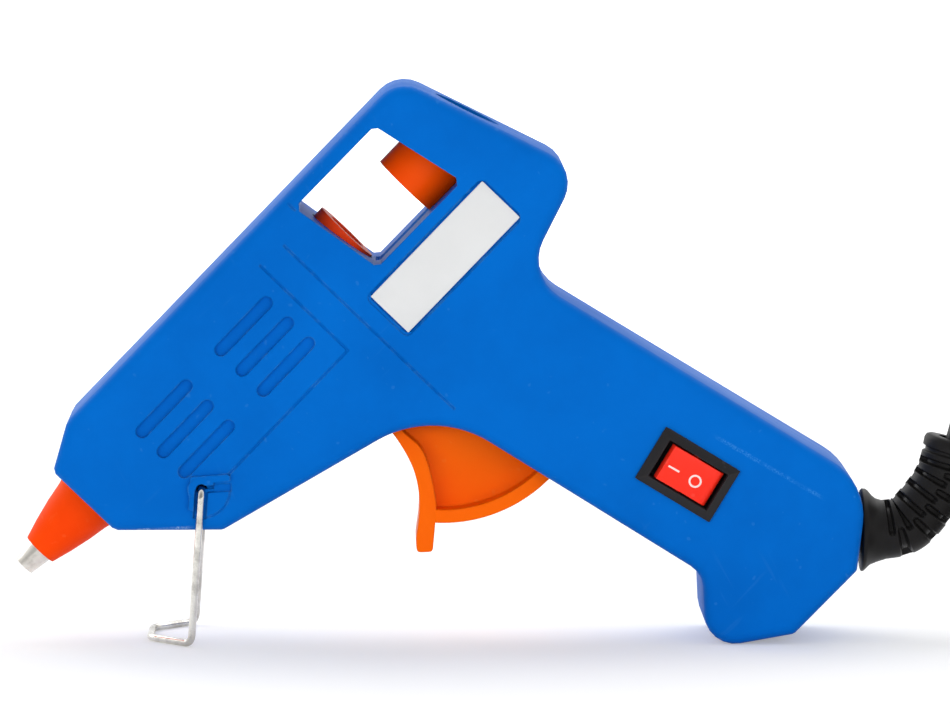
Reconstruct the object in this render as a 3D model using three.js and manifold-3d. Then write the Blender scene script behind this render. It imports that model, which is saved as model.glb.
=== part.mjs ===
// Hot glue applicator for 7 mm sticks, standing on its folding wire stand.
// Lengths in millimetres. In the gun's own frame X runs rearward along the glue stick,
// Y to the right-hand side and Z up from the stick's axis, from the middle of the nose face.
import * as THREE from "three";
import Module from "manifold-3d";

// Clearances shared by all the pieces
const fitGap = 0.3;
const seamGap = 0.3;
const overrun = 1.5;
const slightest = 0.05;

// Stance
const barrelTiltDegrees = 46;
const halfTurnDegrees = 180;

// Housing
const housingSpan = 118;
const halfWidth = 13;
const wall = 2;
const edgeRounding = 2;
const edgeSteps = 4;
const cornerStepLength = 1.7;
const cornerShares = [
  [0, -0.0551, 0.0127],
  [0, 0.0712, 0.0085],
  [0.0695, 0.1085, 0.0254],
  [0.7746, 0.1085, 0.0508],
  [0.8661, -0.178, 0.0508],
  [0.6958, -0.2305, 0.0636],
  [0.8271, -0.8119, 0.0975],
  [0.7212, -0.8924, 0.0051],
  [0.5881, -0.8911, 0.0085],
  [0.4797, -0.8127, 0.0466],
  [0.5585, -0.7288, 0.0381],
  [0.4602, -0.2695, 0.161],
  [0.1119, -0.1703, 0.0085],
];

// Window through which the stick carrier shows
const windowShares = [
  [0.5322, 0.0856, 0.0076],
  [0.7008, 0.0847, 0.0076],
  [0.7314, -0.0644, 0.0076],
  [0.5534, -0.0636, 0.0076],
];
const tunnelWall = 1.6;

// Label and its recess in the left shell
const labelLength = 28;
const labelHeight = 9.1;
const labelThick = 0.5;
const labelMiddle = { along: 74.85, up: -14.7 };
const labelRecess = 0.8;
const labelInset = 0.15;
const labelBend = 0.8;

// Blind slots in both shells
const slotRadius = 1.15;
const slotDeep = 1;
const slotRows = [2.15, -2.95, -8.05];
const slotRuns = [[36, 47.4], [16.1, 27.2]];

// Housing screws
const screwSpots = [
  { name: "nose", along: 8.8, up: -8.5 },
  { name: "front", along: 45, up: -17.5 },
  { name: "rear", along: 88.3, up: 7.6 },
  { name: "grip", along: 78, up: -40 },
  { name: "toe", along: 70.5, up: -97.5 },
];
const bossRadius = 2.8;
const screwHead = { radius: 1.9, long: 2 };
const screwShank = { radius: 0.9, reach: 9.7 };
const screwSeat = 6;

// Nozzle
const coverProfile = [[-12.9, 3.15], [-9.4, 4.15], [-5.6, 5.05], [-2.2, 5.65], [-0.3, 6.15]];
const coverNeck = 4.6;
const coverFlange = { radius: 5.6, front: 2.4, rear: 3.7 };
const coverBore = 3.55;
const coverLip = { radius: 2.75, rear: -9.8 };
const tipProfile = [[-17, 1.85], [-13.4, 2.45], [-10.2, 2.45]];
const tipSpigot = { radius: 1.9, rear: -6.5 };
const tipOrifice = 0.8;

// Melt chamber
const chamberNeck = { radius: 3.2, front: -9.8, rear: 8 };
const chamberBody = { radius: 6, front: 10, rear: 36 };
const chamberFlange = { radius: 8.5, rear: 38 };
const chamberSpigot = { radius: 4.8, rear: 47 };
const chamberBore = 3.7;
const chamberThroat = 2.2;

// Heater under the chamber
const pocket = { front: 14, rear: 33, low: -13.6, halfWide: 5.5, wall: 1.1 };
const filmThick = 0.3;
const contactThick = 0.5;
const contactTab = { rear: 42, halfWide: 1.6 };
const heaterEnds = { front: 15.5, rear: 31.5 };
const heaterHalfWide = 3.4;

// Inlet sleeve, its clip and the ribs that carry them
const sleeve = { front: 40.4, mouth: 65.4, radius: 6.15, bore: 3.9, socketRear: 47.3 };
const clip = { front: 42.4, rear: 45, outer: 7.3 };
const ribs = [
  { front: 4.2, rear: 6.2, hole: 3.5, low: -20 },
  { front: 33.6, rear: 35.6, hole: 6.3, low: -26 },
  { front: 38.35, rear: 40.05, hole: 5.1, low: -26 },
  { front: 57.5, rear: 59.5, hole: 6.45, low: -10.5 },
];

// Stick carrier with the lugs for the grip jaw
const carrier = { front: 78.3, rear: 91, radius: 6.3, drop: -1.9, bore: 3.8 };
const lug = { front: 85.6, rear: 90.6, low: -12.4, inner: 1.35, outer: 2.65 };
const carrierSlot = { front: 80.6, halfWide: 1.4 };
const stemSlot = { front: 79.4, rear: 92.6, low: -17, halfWide: 4.7 };
const entryHole = { radius: 5.9, up: -0.3, front: 91.4, rear: 106 };
const jawPin = { along: 88, up: -10.6 };
const jawHalfWide = 1;
const jawOutline = [
  [86.7, -16.3], [89.3, -16.3], [89.6, -9.6], [87.4, -4.4], [85.3, -4.1], [86.2, -9.6],
];

// Drive link between the trigger's arms and the jaw
const linkRearPin = { along: 88, up: -14.6 };
const linkBar = { front: 60.1, rear: 81, top: -12.8, low: -16.4, halfWide: 1.05 };
const linkBlock = { front: 80, rear: 82.5 };
const linkFork = { rear: 90.5 };
const linkLugLow = -22.8;
const pinRadius = 1;

// Trigger
const pivot = { along: 59.3, up: -29.3 };
const pivotPin = { radius: 1.5, reach: 10.4 };
const pivotBoss = { radius: 3.4, inner: 7.1 };
const triggerHalfWide = 6.5;
const triggerWeb = 1.2;
const triggerRim = { outer: 26.2, inner: 23.9, start: 221, end: 269.5 };
const triggerFace = { radius: 13.6, start: 158, end: 184 };
const padEdge = [
  [44.9, -34], [43.6, -37.5], [41.2, -41], [38.2, -43.8], [34.8, -46.2], [33.8, -47.8],
  [35.2, -49.2], [36.4, -48.9], [39.6, -46.4], [41.3, -45], [42.4, -43.8], [45.4, -39.6],
  [47.5, -35.6], [47.1, -31.4],
];
const padThick = 1.7;
const arm = { reach: 15.3, lean: 12, halfLong: 3, inner: 1.4, outer: 3.4, slotLow: 14.9 };
const triggerRoom = { halfWide: 6.9, faceRadius: 14, rimRadius: 26.6 };

// Return spring
const springAxis = -19.8;
const springRib = { front: 66.2, rear: 67.8, top: -16.8, low: -25 };
const springPeg = { radius: 1.6, rear: 71 };
const spring = { radius: 2.4, wire: 0.25, turns: 6, steps: 8, sides: 5 };

// Rocker switch
const switchMiddle = { along: 76.8, up: -71.7 };
const switchTurn = -77.2;
const bezel = { long: 15.2, wide: 10.5, out: 14.4, back: 13.3, bend: 0.7 };
const switchBox = { long: 12.7, wide: 8.7, deep: 3 };
const rockerPocket = { long: 12, wide: 7.2, deep: 8.8 };
const rocker = { halfLong: 5.2, wide: 6.6, tip: 14.9, middle: 14.3, pivot: 11.5, lean: 9, stub: 0.7 };
const terminal = { thick: 0.6, wide: 3, spread: 3.4, inner: -4.7, outer: 3.6 };

// Wire stand
const hub = { along: 16, up: -12.3 };
const hubShares = [
  [0.1381, -0.0797], [0.1814, -0.1186], [0.161, -0.1398], [0.1127, -0.139], [0.1008, -0.111],
];
const hubOut = 14;
const hubHole = { radius: 1, deep: 8.4 };
const hubBossInner = 6.8;
const hubBossRadius = 2.6;
const wireRadius = 0.65;
const wireSide = 13.75;
const wireStub = 9.2;
const wireLegLean = 4;
const wireFoot = 7.4;
const wireFootHalf = 6;
const wireBend = 1.6;
const wireSides = 8;
const standRoom = 28.5;
const standRest = -140;
const standSwing = 100;

// Mains cord, a flat twin
const cordWide = 5.2;
const cordThick = 3;
const exitSpot = { along: 89.85, up: -101.8 };
const cordInnerEnd = -18.5;

// Strain relief: stations from the housing's outer face
const reliefBore = 2.95;
const reliefNeck = { radius: 4.2, start: -2.3 };
const reliefFlange = { radius: 5, front: -3.8, rear: -2.3 };
const reliefLine = [
  [-3.8, 0], [0.6, 0], [4.2, 0], [8.5, 0.9], [12.1, 4.5], [15.2, 9.2], [16.6, 13.8], [17.3, 16.2],
];
const reliefBase = { start: 0.6, radius: 7.35, end: 5.4 };
const reliefBody = 5.35;
const reliefGroove = 4.3;
const reliefCollar = 4.5;
const reliefRibs = 10;
const reliefSides = 12;

// Cord clamp
const clampBar = { at: -11, halfWide: 2.5, halfLong: 8, thick: 2 };
const clampPost = { spread: 6, radius: 2.2 };
const clampScrew = { head: 2, headLong: 1.5, shank: 0.9, long: 8 };

// Route of the free stretch: outward from the housing's face, across, and up from the floor
const cordRoute = [
  [20.4, 0, 42.7], [26.6, 0.2, 49.2], [35.4, 1, 52.4], [45, 2.6, 51.8],
  [53.6, 5, 47.2], [60.4, 8, 39.8], [66, 11.2, 31.6], [72.4, 14.4, 23.8], [80.4, 17, 16.8],
  [89.6, 18.4, 11.6],
];

// Tied hank of the rest of the cord
const hank = { middle: 78.6, run: 62, waistRun: 52, drawn: 5, step: 3.9, inner: 9.6, dip: 1 };
const hankTurns = 5;
const hankQuarterSteps = 6;
const hankLowest = 3.5;
const hankRise = 5.7;
const hankTurnBack = 2.375;
const hankStart = 4;
const tailRoute = [[5, 20, 3.5], [10, 19.4, 3.5], [20, 15.8, 3.9], [31, 8.4, 5.6], [41, 3.3, 6.6], [50, 2, 6.85]];
const tie = { halfWide: 17.6, low: 0.65, top: 12.3, thick: 0.6, halfRun: 2.5 };

// Plug
const plug = { across: 35.3, thick: 13.7, long: 36, neck: 5 };
const plugStations = [[0, 0.3, 0.7], [0.18, 0.36, 0.84], [0.52, 1, 1], [0.94, 1, 1], [1, 0.94, 0.86]];
const plugPin = { radius: 2, spread: 9.3, long: 19, root: 3 };

// Inner leads
const leadRadius = 0.8;
const leadBend = 2.5;
const leadRoutes = {
  lead_heater: [[43.2, 0, -9.8], [47, 6, -12], [52, 9, -13], [72, 9, -13], [72, 9, -60],
    [76.05, 9, -68.4], [76.05, 4, -68.4]],
  lead_neutral: [[42.8, 0, -12.6], [47, -6, -14], [52, -9, -13.4], [71.5, -9, -13.4],
    [71.5, -9, -51], [67, 0, -62], [70.5, 1.5, -81], [76.3, -1.4, -87.6]],
  lead_switch: [[77.55, 4, -75], [77.55, 8, -75.5], [75.4, 6, -82], [76.3, 1.4, -87.8]],
};
const leadSides = 6;

// Side counts of turned pieces
const coarse = 12;
const medium = 20;
const fine = 28;

const wasm = await Module();
wasm.setup();

const tilt = (barrelTiltDegrees / halfTurnDegrees) * Math.PI;

function radians(degrees) {
  return (degrees / halfTurnDegrees) * Math.PI;
}

function spot(along, across, up) {
  return new THREE.Vector3(along, across, up);
}

// A closed solid from equal rings of points, capped by the given faces of a ring
function solidFromRings(rings, faces) {
  const count = rings[0].length;
  const points = rings.flat();
  const triangles = [];
  for (let level = 0; level + 1 < rings.length; level += 1) {
    for (let at = 0; at < count; at += 1) {
      const a = level * count + at;
      const b = level * count + ((at + 1) % count);
      triangles.push([a, b, a + count], [b, b + count, a + count]);
    }
  }
  const last = (rings.length - 1) * count;
  for (const [a, b, c] of faces) {
    triangles.push([a, c, b], [last + a, last + b, last + c]);
  }
  return solidFromTriangles(points, triangles);
}

function solidFromTriangles(points, triangles) {
  let volume = 0;
  for (const [a, b, c] of triangles) {
    volume += points[a].dot(points[b].clone().cross(points[c]));
  }
  const facing = triangles.map(([a, b, c]) => (volume < 0 ? [a, c, b] : [a, b, c]));
  return new wasm.Manifold(new wasm.Mesh({
    numProp: 3,
    vertProperties: new Float32Array(points.flatMap((p) => [p.x, p.y, p.z])),
    triVerts: new Uint32Array(facing.flat()),
  }));
}

function fan(count) {
  return Array.from({ length: count - 2 }, (_, at) => [0, at + 1, at + 2]);
}

function fillFaces(outline) {
  const flat = outline.map(([along, up]) => new THREE.Vector2(along, up));
  const faces = THREE.ShapeUtils.triangulateShape(flat, []);
  const [a, b, c] = faces[0].map((at) => flat[at]);
  const same = THREE.ShapeUtils.area([a, b, c]) * THREE.ShapeUtils.area(flat) > 0;
  return same ? faces : faces.map(([p, q, r]) => [p, r, q]);
}

// An upright slice of an outline in the side view, between two distances across
function slice(outline, from, to) {
  const ring = (across) => outline.map(([along, up]) => spot(along, across, up));
  return solidFromRings([ring(from), ring(to)], fillFaces(outline));
}

function block(front, rear, from, to, low, top) {
  return slice([[front, low], [rear, low], [rear, top], [front, top]], from, to);
}

// Rings round a straight line, with one radius at each station along it
function spun(stations, start, direction, sides) {
  const along = direction.clone().normalize();
  const lead = Math.abs(along.y) > Math.abs(along.x) ? spot(1, 0, 0) : spot(0, 1, 0);
  const side = lead.sub(along.clone().multiplyScalar(lead.dot(along))).normalize();
  const other = along.clone().cross(side);
  const rings = stations.map(([distance, radius]) => {
    const middle = start.clone().addScaledVector(along, distance);
    return circle(middle, side, other, radius, sides);
  });
  return solidFromRings(rings, fan(sides));
}

function circle(middle, side, other, radius, sides) {
  return Array.from({ length: sides }, (_, at) => {
    const turn = (at / sides) * 2 * Math.PI;
    return middle.clone()
      .addScaledVector(side, radius * Math.cos(turn))
      .addScaledVector(other, radius * Math.sin(turn));
  });
}

function barrelTurned(stations, sides) {
  return spun(stations, spot(0, 0, 0), spot(1, 0, 0), sides);
}

function barrelRod(radius, front, rear, sides, up = 0) {
  return spun([[front, radius], [rear, radius]], spot(0, 0, up), spot(1, 0, 0), sides);
}

function crossRod(radius, from, to, place, sides) {
  return spun([[from, radius], [to, radius]], spot(place.along, 0, place.up), spot(0, 1, 0), sides);
}

function joined(solids) {
  return solids.reduce((whole, solid) => whole.add(solid));
}

function carved(solid, cuts) {
  return cuts.reduce((whole, cut) => whole.subtract(cut), solid);
}

function mirrored(solid, side) {
  return side < 0 ? solid.mirror([0, 1, 0]) : solid;
}

// An outline with rounded corners, drawn in by an inset; every inset has as many points
function roundedOutline(corners, inset) {
  const area = THREE.ShapeUtils.area(corners.map(([x, y]) => new THREE.Vector2(x, y)));
  const inward = area > 0 ? 1 : -1;
  const count = corners.length;
  const directions = corners.map(([x, y], at) => {
    const [nextX, nextY] = corners[(at + 1) % count];
    return new THREE.Vector2(nextX - x, nextY - y).normalize();
  });
  return corners.flatMap(([x, y, bend], at) => {
    const before = directions[(at + count - 1) % count];
    const after = directions[at];
    const normalBefore = new THREE.Vector2(-before.y, before.x).multiplyScalar(inward);
    const normalAfter = new THREE.Vector2(-after.y, after.x).multiplyScalar(inward);
    const turn = Math.acos(THREE.MathUtils.clamp(before.dot(after), -1, 1));
    const outward = (before.x * after.y - before.y * after.x) * inward > 0 ? 1 : -1;
    const steps = Math.max(1, Math.ceil((turn * bend) / cornerStepLength));
    const radius = Math.max(slightest, bend - outward * inset);
    const corner = normalBefore.clone().add(normalAfter)
      .multiplyScalar(inset / (1 + normalBefore.dot(normalAfter)))
      .add(new THREE.Vector2(x, y));
    const start = corner.clone().addScaledVector(before, -radius * Math.tan(turn / 2));
    const centre = start.clone().addScaledVector(normalBefore, radius * outward);
    const arm0 = start.clone().sub(centre);
    const sense = (before.x * after.y - before.y * after.x) > 0 ? 1 : -1;
    return Array.from({ length: steps + 1 }, (_, step) => {
      const swing = (sense * turn * step) / steps;
      return [
        centre.x + arm0.x * Math.cos(swing) - arm0.y * Math.sin(swing),
        centre.y + arm0.x * Math.sin(swing) + arm0.y * Math.cos(swing),
      ];
    });
  });
}

function scaled(shares) {
  return shares.map((corner) => corner.map((share) => share * housingSpan));
}

const housingCorners = scaled(cornerShares);
const windowCorners = scaled(windowShares);

// Half of the housing before its openings: rounded skin, hollow, ribs, bosses and window tunnel
function shellBlank() {
  const seam = seamGap / 2;
  const rings = [[0, seam]];
  for (let step = 0; step <= edgeSteps; step += 1) {
    const turn = (step / edgeSteps) * (Math.PI / 2);
    const inset = edgeRounding * (1 - Math.cos(turn));
    rings.push([inset, halfWidth - edgeRounding * (1 - Math.sin(turn))]);
  }
  const skin = solidFromRings(
    rings.map(([inset, across]) => roundedOutline(housingCorners, inset)
      .map(([along, up]) => spot(along, across, up))),
    fillFaces(roundedOutline(housingCorners, 0)),
  );
  const hollow = slice(roundedOutline(housingCorners, wall), -overrun, halfWidth - wall);
  const core = slice(roundedOutline(housingCorners, wall / 2), seam, halfWidth - wall / 2);
  const inside = joined([...shellRibs(seam), ...shellBosses(seam), windowTunnel(seam)]);
  return skin.subtract(hollow).add(inside.intersect(core));
}

function shellRibs(seam) {
  const far = halfWidth - wall / 2;
  const plates = ribs.map((rib) => block(rib.front, rib.rear, seam, far, rib.low, halfWidth)
    .subtract(barrelRod(rib.hole, rib.front - overrun, rib.rear + overrun, fine)));
  const stop = block(springRib.front, springRib.rear, seam, far, springRib.low, springRib.top);
  return [...plates, stop];
}

function shellBosses(seam) {
  const far = halfWidth - wall / 2;
  return [
    ...screwSpots.map((place) => crossRod(bossRadius, seam, far, place, coarse)),
    crossRod(pivotBoss.radius, pivotBoss.inner, far, pivot, medium),
    crossRod(hubBossRadius, hubBossInner, far, hub, coarse),
  ];
}

function windowTunnel(seam) {
  return slice(roundedOutline(windowCorners, -tunnelWall), seam, halfWidth - wall / 2);
}

// The raised hub beside the stand's hole, cleared where the leg swings past
function hubPad() {
  const pad = slice(hubShares.map((corner) => corner.map((share) => share * housingSpan)),
    halfWidth - wall / 2, hubOut);
  const ends = [standRest, standRest + standSwing];
  return carved(pad, [
    sector(hub, standRoom, ends[0], ends[1], halfWidth, hubOut + overrun),
    ...ends.map((turn) => legWay(turn)),
  ]);
}

// Room for the leg at one end of its swing
function legWay(turn) {
  const ahead = [Math.cos(radians(turn)), Math.sin(radians(turn))];
  const half = wireRadius + fitGap;
  const corners = [[-half, -half], [standRoom, -half], [standRoom, half], [-half, half]];
  return slice(corners.map(([far, over]) => [
    hub.along + ahead[0] * far - ahead[1] * over,
    hub.up + ahead[1] * far + ahead[0] * over,
  ]), halfWidth, hubOut + overrun);
}

// A slice of a disc between two angles seen from the left, counted from the stick's direction
function sector(place, radius, start, end, from, to) {
  const steps = Math.ceil((end - start) / 9);
  const rim = Array.from({ length: steps + 1 }, (_, at) => {
    const turn = radians(start + ((end - start) * at) / steps);
    return [place.along + radius * Math.cos(turn), place.up + radius * Math.sin(turn)];
  });
  return slice([[place.along, place.up], ...rim], from, to);
}

function slotCuts() {
  return slotRows.flatMap((up) => slotRuns.map(([front, rear]) => {
    const from = halfWidth - slotDeep;
    const to = halfWidth + overrun;
    return joined([
      crossRod(slotRadius, from, to, { along: front, up }, coarse),
      crossRod(slotRadius, from, to, { along: rear, up }, coarse),
      block(front, rear, from, to, up - slotRadius, up + slotRadius),
    ]);
  }));
}

// Openings that both halves share
function sharedCuts() {
  const reach = halfWidth + overrun;
  const face = exitLine();
  return [
    slice(roundedOutline(windowCorners, 0), -overrun, hubOut + overrun),
    barrelRod(coverNeck + fitGap, -overrun, wall + slightest, fine),
    barrelRod(sleeve.radius + fitGap, ribs[3].front - overrun, sleeve.mouth + wall, fine),
    barrelRod(carrier.radius + fitGap, sleeve.mouth, stemSlot.rear, fine, carrier.drop),
    barrelRod(entryHole.radius, entryHole.front, entryHole.rear, fine, entryHole.up),
    block(stemSlot.front, stemSlot.rear, -stemSlot.halfWide, stemSlot.halfWide, stemSlot.low,
      carrier.drop),
    block(ribs[1].front - overrun, ribs[2].rear + overrun, -heaterHalfWide, heaterHalfWide,
      pocket.low, -chamberBody.radius),
    sector(pivot, triggerRoom.faceRadius, 150, 215, -triggerRoom.halfWide, triggerRoom.halfWide),
    sector(pivot, triggerRoom.rimRadius, 200, 300, -triggerRoom.halfWide, triggerRoom.halfWide),
    crossRod(pivotPin.radius + fitGap, -pivotPin.reach - fitGap, pivotPin.reach + fitGap, pivot, medium),
    crossRod(hubHole.radius, hubHole.deep, reach, hub, coarse),
    crossRod(wireRadius + wireBend, halfWidth - wall * 0.65, reach, hub, coarse),
    spun([[face.length - 9, reliefNeck.radius + fitGap], [face.length + 9, reliefNeck.radius + fitGap]],
      face.start, face.direction, medium),
    spun([[face.length + reliefFlange.front - fitGap, reliefFlange.radius + fitGap],
      [face.length + reliefFlange.rear + fitGap, reliefFlange.radius + fitGap]],
    face.start, face.direction, medium),
    ...slotCuts(),
  ];
}

// The level line along which the cord leaves the housing, in the gun's own frame
function exitLine() {
  const direction = spot(Math.cos(tilt), 0, -Math.sin(tilt));
  const start = spot(exitSpot.along, 0, exitSpot.up).addScaledVector(direction, -housingSpan);
  return { start, direction, length: housingSpan };
}

function rightShell() {
  const shell = carved(shellBlank().add(hubPad()), sharedCuts());
  const screwWays = screwSpots.map((place) => joined([
    crossRod(screwHead.radius + fitGap, screwSeat, halfWidth + overrun, place, coarse),
    crossRod(screwShank.radius + fitGap, -overrun, screwSeat + slightest, place, coarse),
  ]));
  const posts = joined([-1, 1].map((way) => clampPostRod(way)));
  const ridge = cordRidge();
  const core = slice(roundedOutline(housingCorners, wall / 2), -halfWidth, halfWidth - wall / 2);
  const carriers = posts.add(ridge).intersect(core);
  const postHoles = [-1, 1].map((way) => clampScrewWay(way));
  return carved(carved(shell, screwWays).add(carriers), postHoles);
}

function leftShell() {
  const shell = carved(shellBlank().add(hubPad()), sharedCuts());
  const pilots = screwSpots.map((place) => crossRod(
    screwShank.radius + fitGap, -overrun, screwShank.reach + fitGap, place, coarse));
  const side = carved(shell, [...pilots, labelPocket(), switchWay()]);
  return mirrored(side, -1);
}

function labelOutline(margin) {
  const long = labelLength / 2 + margin;
  const high = labelHeight / 2 + margin;
  const { along, up } = labelMiddle;
  const corners = [[along - long, up - high, labelBend], [along + long, up - high, labelBend],
    [along + long, up + high, labelBend], [along - long, up + high, labelBend]];
  return roundedOutline(corners, 0);
}

function labelPocket() {
  return slice(labelOutline(fitGap + slightest), halfWidth - labelRecess, halfWidth + overrun);
}

function label() {
  const front = halfWidth - labelRecess + labelInset;
  return mirrored(slice(labelOutline(0), front, front + labelThick), -1);
}

// A rectangle round the switch's middle, along its own length
function switchOutline(long, wide, bend) {
  const turn = radians(switchTurn);
  const corners = [[-long / 2, -wide / 2], [long / 2, -wide / 2], [long / 2, wide / 2],
    [-long / 2, wide / 2]].map(([along, over]) => [
    switchMiddle.along + along * Math.cos(turn) - over * Math.sin(turn),
    switchMiddle.up + along * Math.sin(turn) + over * Math.cos(turn),
    bend,
  ]);
  return roundedOutline(corners, 0);
}

function switchWay() {
  const outline = switchOutline(switchBox.long + 2 * fitGap, switchBox.wide + 2 * fitGap, slightest);
  return slice(outline, halfWidth - wall - overrun, halfWidth + overrun);
}

function switchBody() {
  const frame = slice(switchOutline(bezel.long, bezel.wide, bezel.bend), bezel.back, bezel.out);
  const box = slice(switchOutline(switchBox.long, switchBox.wide, slightest),
    switchBox.deep, bezel.back + slightest);
  const room = slice(switchOutline(rockerPocket.long, rockerPocket.wide, slightest),
    rockerPocket.deep, bezel.out + overrun);
  const pivotWay = switchCross(rocker.stub + fitGap, rocker.wide / 2 + 2 * fitGap + slightest);
  const blades = [-1, 1].map((way) => terminalSlice(way, fitGap, terminal.inner - fitGap));
  return mirrored(carved(frame.add(box), [room, pivotWay, ...blades.map((b) => mirrored(b, -1))]), -1);
}

// A rod across the switch on the rocker's pivot line
function switchCross(radius, half) {
  const turn = radians(switchTurn);
  const direction = spot(-Math.sin(turn), 0, Math.cos(turn));
  const middle = spot(switchMiddle.along, rocker.pivot, switchMiddle.up);
  return spun([[-half, radius], [half, radius]], middle, direction, coarse);
}

function rockerButton() {
  const turn = radians(switchTurn);
  const lean = radians(rocker.lean);
  const skirt = rocker.pivot + 1;
  const foot = 2;
  const profile = [
    [-rocker.halfLong, rocker.tip], [0, rocker.middle], [rocker.halfLong, rocker.tip],
    [rocker.halfLong, skirt], [foot, rocker.pivot - foot], [-foot, rocker.pivot - foot],
    [-rocker.halfLong, skirt],
  ].map(([along, out]) => {
    const rise = out - rocker.pivot;
    return [along * Math.cos(lean) + rise * Math.sin(lean),
      rocker.pivot - along * Math.sin(lean) + rise * Math.cos(lean)];
  });
  const ring = (over) => profile.map(([along, out]) => spot(
    switchMiddle.along + along * Math.cos(turn) - over * Math.sin(turn), out,
    switchMiddle.up + along * Math.sin(turn) + over * Math.cos(turn)));
  const body = solidFromRings([ring(-rocker.wide / 2), ring(rocker.wide / 2)], fillFaces(profile));
  return mirrored(body.add(switchCross(rocker.stub, rocker.wide / 2 + fitGap + slightest)), -1);
}

function terminalSlice(way, margin, inner) {
  const turn = radians(switchTurn);
  const half = { along: terminal.thick / 2 + margin, over: terminal.wide / 2 + margin };
  const outline = [[-1, -1], [1, -1], [1, 1], [-1, 1]].map(([a, b]) => {
    const along = way * terminal.spread + a * half.along;
    const over = b * half.over;
    return [switchMiddle.along + along * Math.cos(turn) - over * Math.sin(turn),
      switchMiddle.up + along * Math.sin(turn) + over * Math.cos(turn)];
  });
  return slice(outline, inner, terminal.outer);
}

function clampAlongWorld(distance, side) {
  const level = exitLine().direction;
  const upright = spot(Math.sin(tilt), 0, Math.cos(tilt));
  const place = spot(exitSpot.along, 0, exitSpot.up)
    .addScaledVector(level, distance).addScaledVector(upright, side);
  return { along: place.x, up: place.z };
}

function clampPostRod(way) {
  const place = clampAlongWorld(clampBar.at, way * clampPost.spread);
  return crossRod(clampPost.radius, -cordWide / 2, halfWidth - wall / 2, place, coarse);
}

function clampScrewWay(way) {
  const place = clampAlongWorld(clampBar.at, way * clampPost.spread);
  return crossRod(clampScrew.shank + fitGap, -halfWidth, clampScrew.long - cordWide + fitGap, place, coarse);
}

// The ledge in the right shell on which the cord's flat edge is pressed
function cordRidge() {
  const half = { long: clampBar.halfWide, high: cordThick / 2 };
  const corners = [[-1, -1], [1, -1], [1, 1], [-1, 1]].map(([a, b]) => {
    const place = clampAlongWorld(clampBar.at + a * half.long, b * half.high);
    return [place.along, place.up];
  });
  return slice(corners, cordWide / 2 + fitGap, halfWidth - wall / 2);
}

function cordClamp() {
  const top = -cordWide / 2 - fitGap;
  const corners = [[-1, -1], [1, -1], [1, 1], [-1, 1]].map(([a, b]) => {
    const place = clampAlongWorld(clampBar.at + a * clampBar.halfWide, b * clampBar.halfLong);
    return [place.along, place.up];
  });
  const bar = slice(corners, top - clampBar.thick, top);
  return carved(bar, [-1, 1].map((way) => clampScrewWay(way)));
}

function clampScrewSolid(way) {
  const place = clampAlongWorld(clampBar.at, way * clampPost.spread);
  const under = -cordWide / 2 - fitGap - clampBar.thick - fitGap;
  return crossRod(clampScrew.head, under - clampScrew.headLong, under, place, coarse)
    .add(crossRod(clampScrew.shank, under - slightest, clampScrew.long - cordWide, place, coarse));
}

function housingScrew(place) {
  const seat = screwSeat + fitGap;
  return crossRod(screwHead.radius, seat, seat + screwHead.long, place, coarse)
    .add(crossRod(screwShank.radius, -screwShank.reach, seat + slightest, place, coarse));
}

function nozzleCover() {
  const skin = barrelTurned(coverProfile, fine);
  const neck = barrelRod(coverNeck, coverProfile[4][0] - slightest, coverFlange.front + slightest, fine);
  const flange = barrelRod(coverFlange.radius, coverFlange.front, coverFlange.rear, fine);
  return carved(joined([skin, neck, flange]), [
    barrelRod(coverBore, coverLip.rear, coverFlange.rear + overrun, fine),
    barrelRod(coverLip.radius, coverProfile[0][0] - overrun, 0, fine),
  ]);
}

function nozzleTip() {
  const skin = barrelTurned(tipProfile, medium);
  const spigot = barrelRod(tipSpigot.radius, tipProfile[2][0] - slightest, tipSpigot.rear, medium);
  return skin.add(spigot).subtract(
    barrelRod(tipOrifice, tipProfile[0][0] - overrun, tipSpigot.rear + overrun, coarse));
}

function meltChamber() {
  const skin = joined([
    barrelRod(chamberNeck.radius, chamberNeck.front, chamberBody.front, fine),
    barrelTurned([[chamberNeck.rear, chamberNeck.radius], [chamberBody.front, chamberBody.radius],
      [chamberBody.rear, chamberBody.radius]], fine),
    barrelRod(chamberFlange.radius, chamberBody.rear - slightest, chamberFlange.rear, fine),
    barrelRod(chamberSpigot.radius, chamberBody.rear, chamberSpigot.rear, fine),
    block(pocket.front, pocket.rear, -pocket.halfWide, pocket.halfWide, pocket.low, -chamberBore - wall / 2),
  ]);
  return carved(skin, [
    barrelRod(chamberBore, chamberBody.front, chamberSpigot.rear + overrun, fine),
    barrelTurned([[chamberNeck.front - overrun, chamberThroat], [chamberNeck.rear, chamberThroat],
      [chamberBody.front + slightest, chamberBore]], medium),
    heaterRoom(),
    block(chamberBody.rear - overrun, chamberFlange.rear + overrun, -contactTab.halfWide - fitGap,
      contactTab.halfWide + fitGap, pocket.low, -chamberBody.radius - pocket.wall),
  ]);
}

function heaterRoom() {
  const inner = pocketInside(0);
  return block(pocket.front - overrun, pocket.rear + overrun, -inner.half, inner.half, inner.low, inner.top);
}

function pocketInside(margin) {
  return {
    half: pocket.halfWide - pocket.wall - margin,
    low: pocket.low + pocket.wall + margin,
    top: -chamberBody.radius - pocket.wall - margin,
  };
}

function heaterFilm() {
  const outer = pocketInside(fitGap);
  const inner = pocketInside(fitGap + filmThick);
  const front = pocket.front - overrun;
  const rear = pocket.rear;
  return block(front, rear, -outer.half, outer.half, outer.low, outer.top)
    .subtract(block(front - overrun, rear + overrun, -inner.half, inner.half, inner.low, inner.top));
}

function heaterStack() {
  const room = pocketInside(2 * fitGap + filmThick);
  const topUnder = room.top - contactThick;
  const lowOver = room.low + contactThick;
  return { room, topUnder, lowOver };
}

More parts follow.
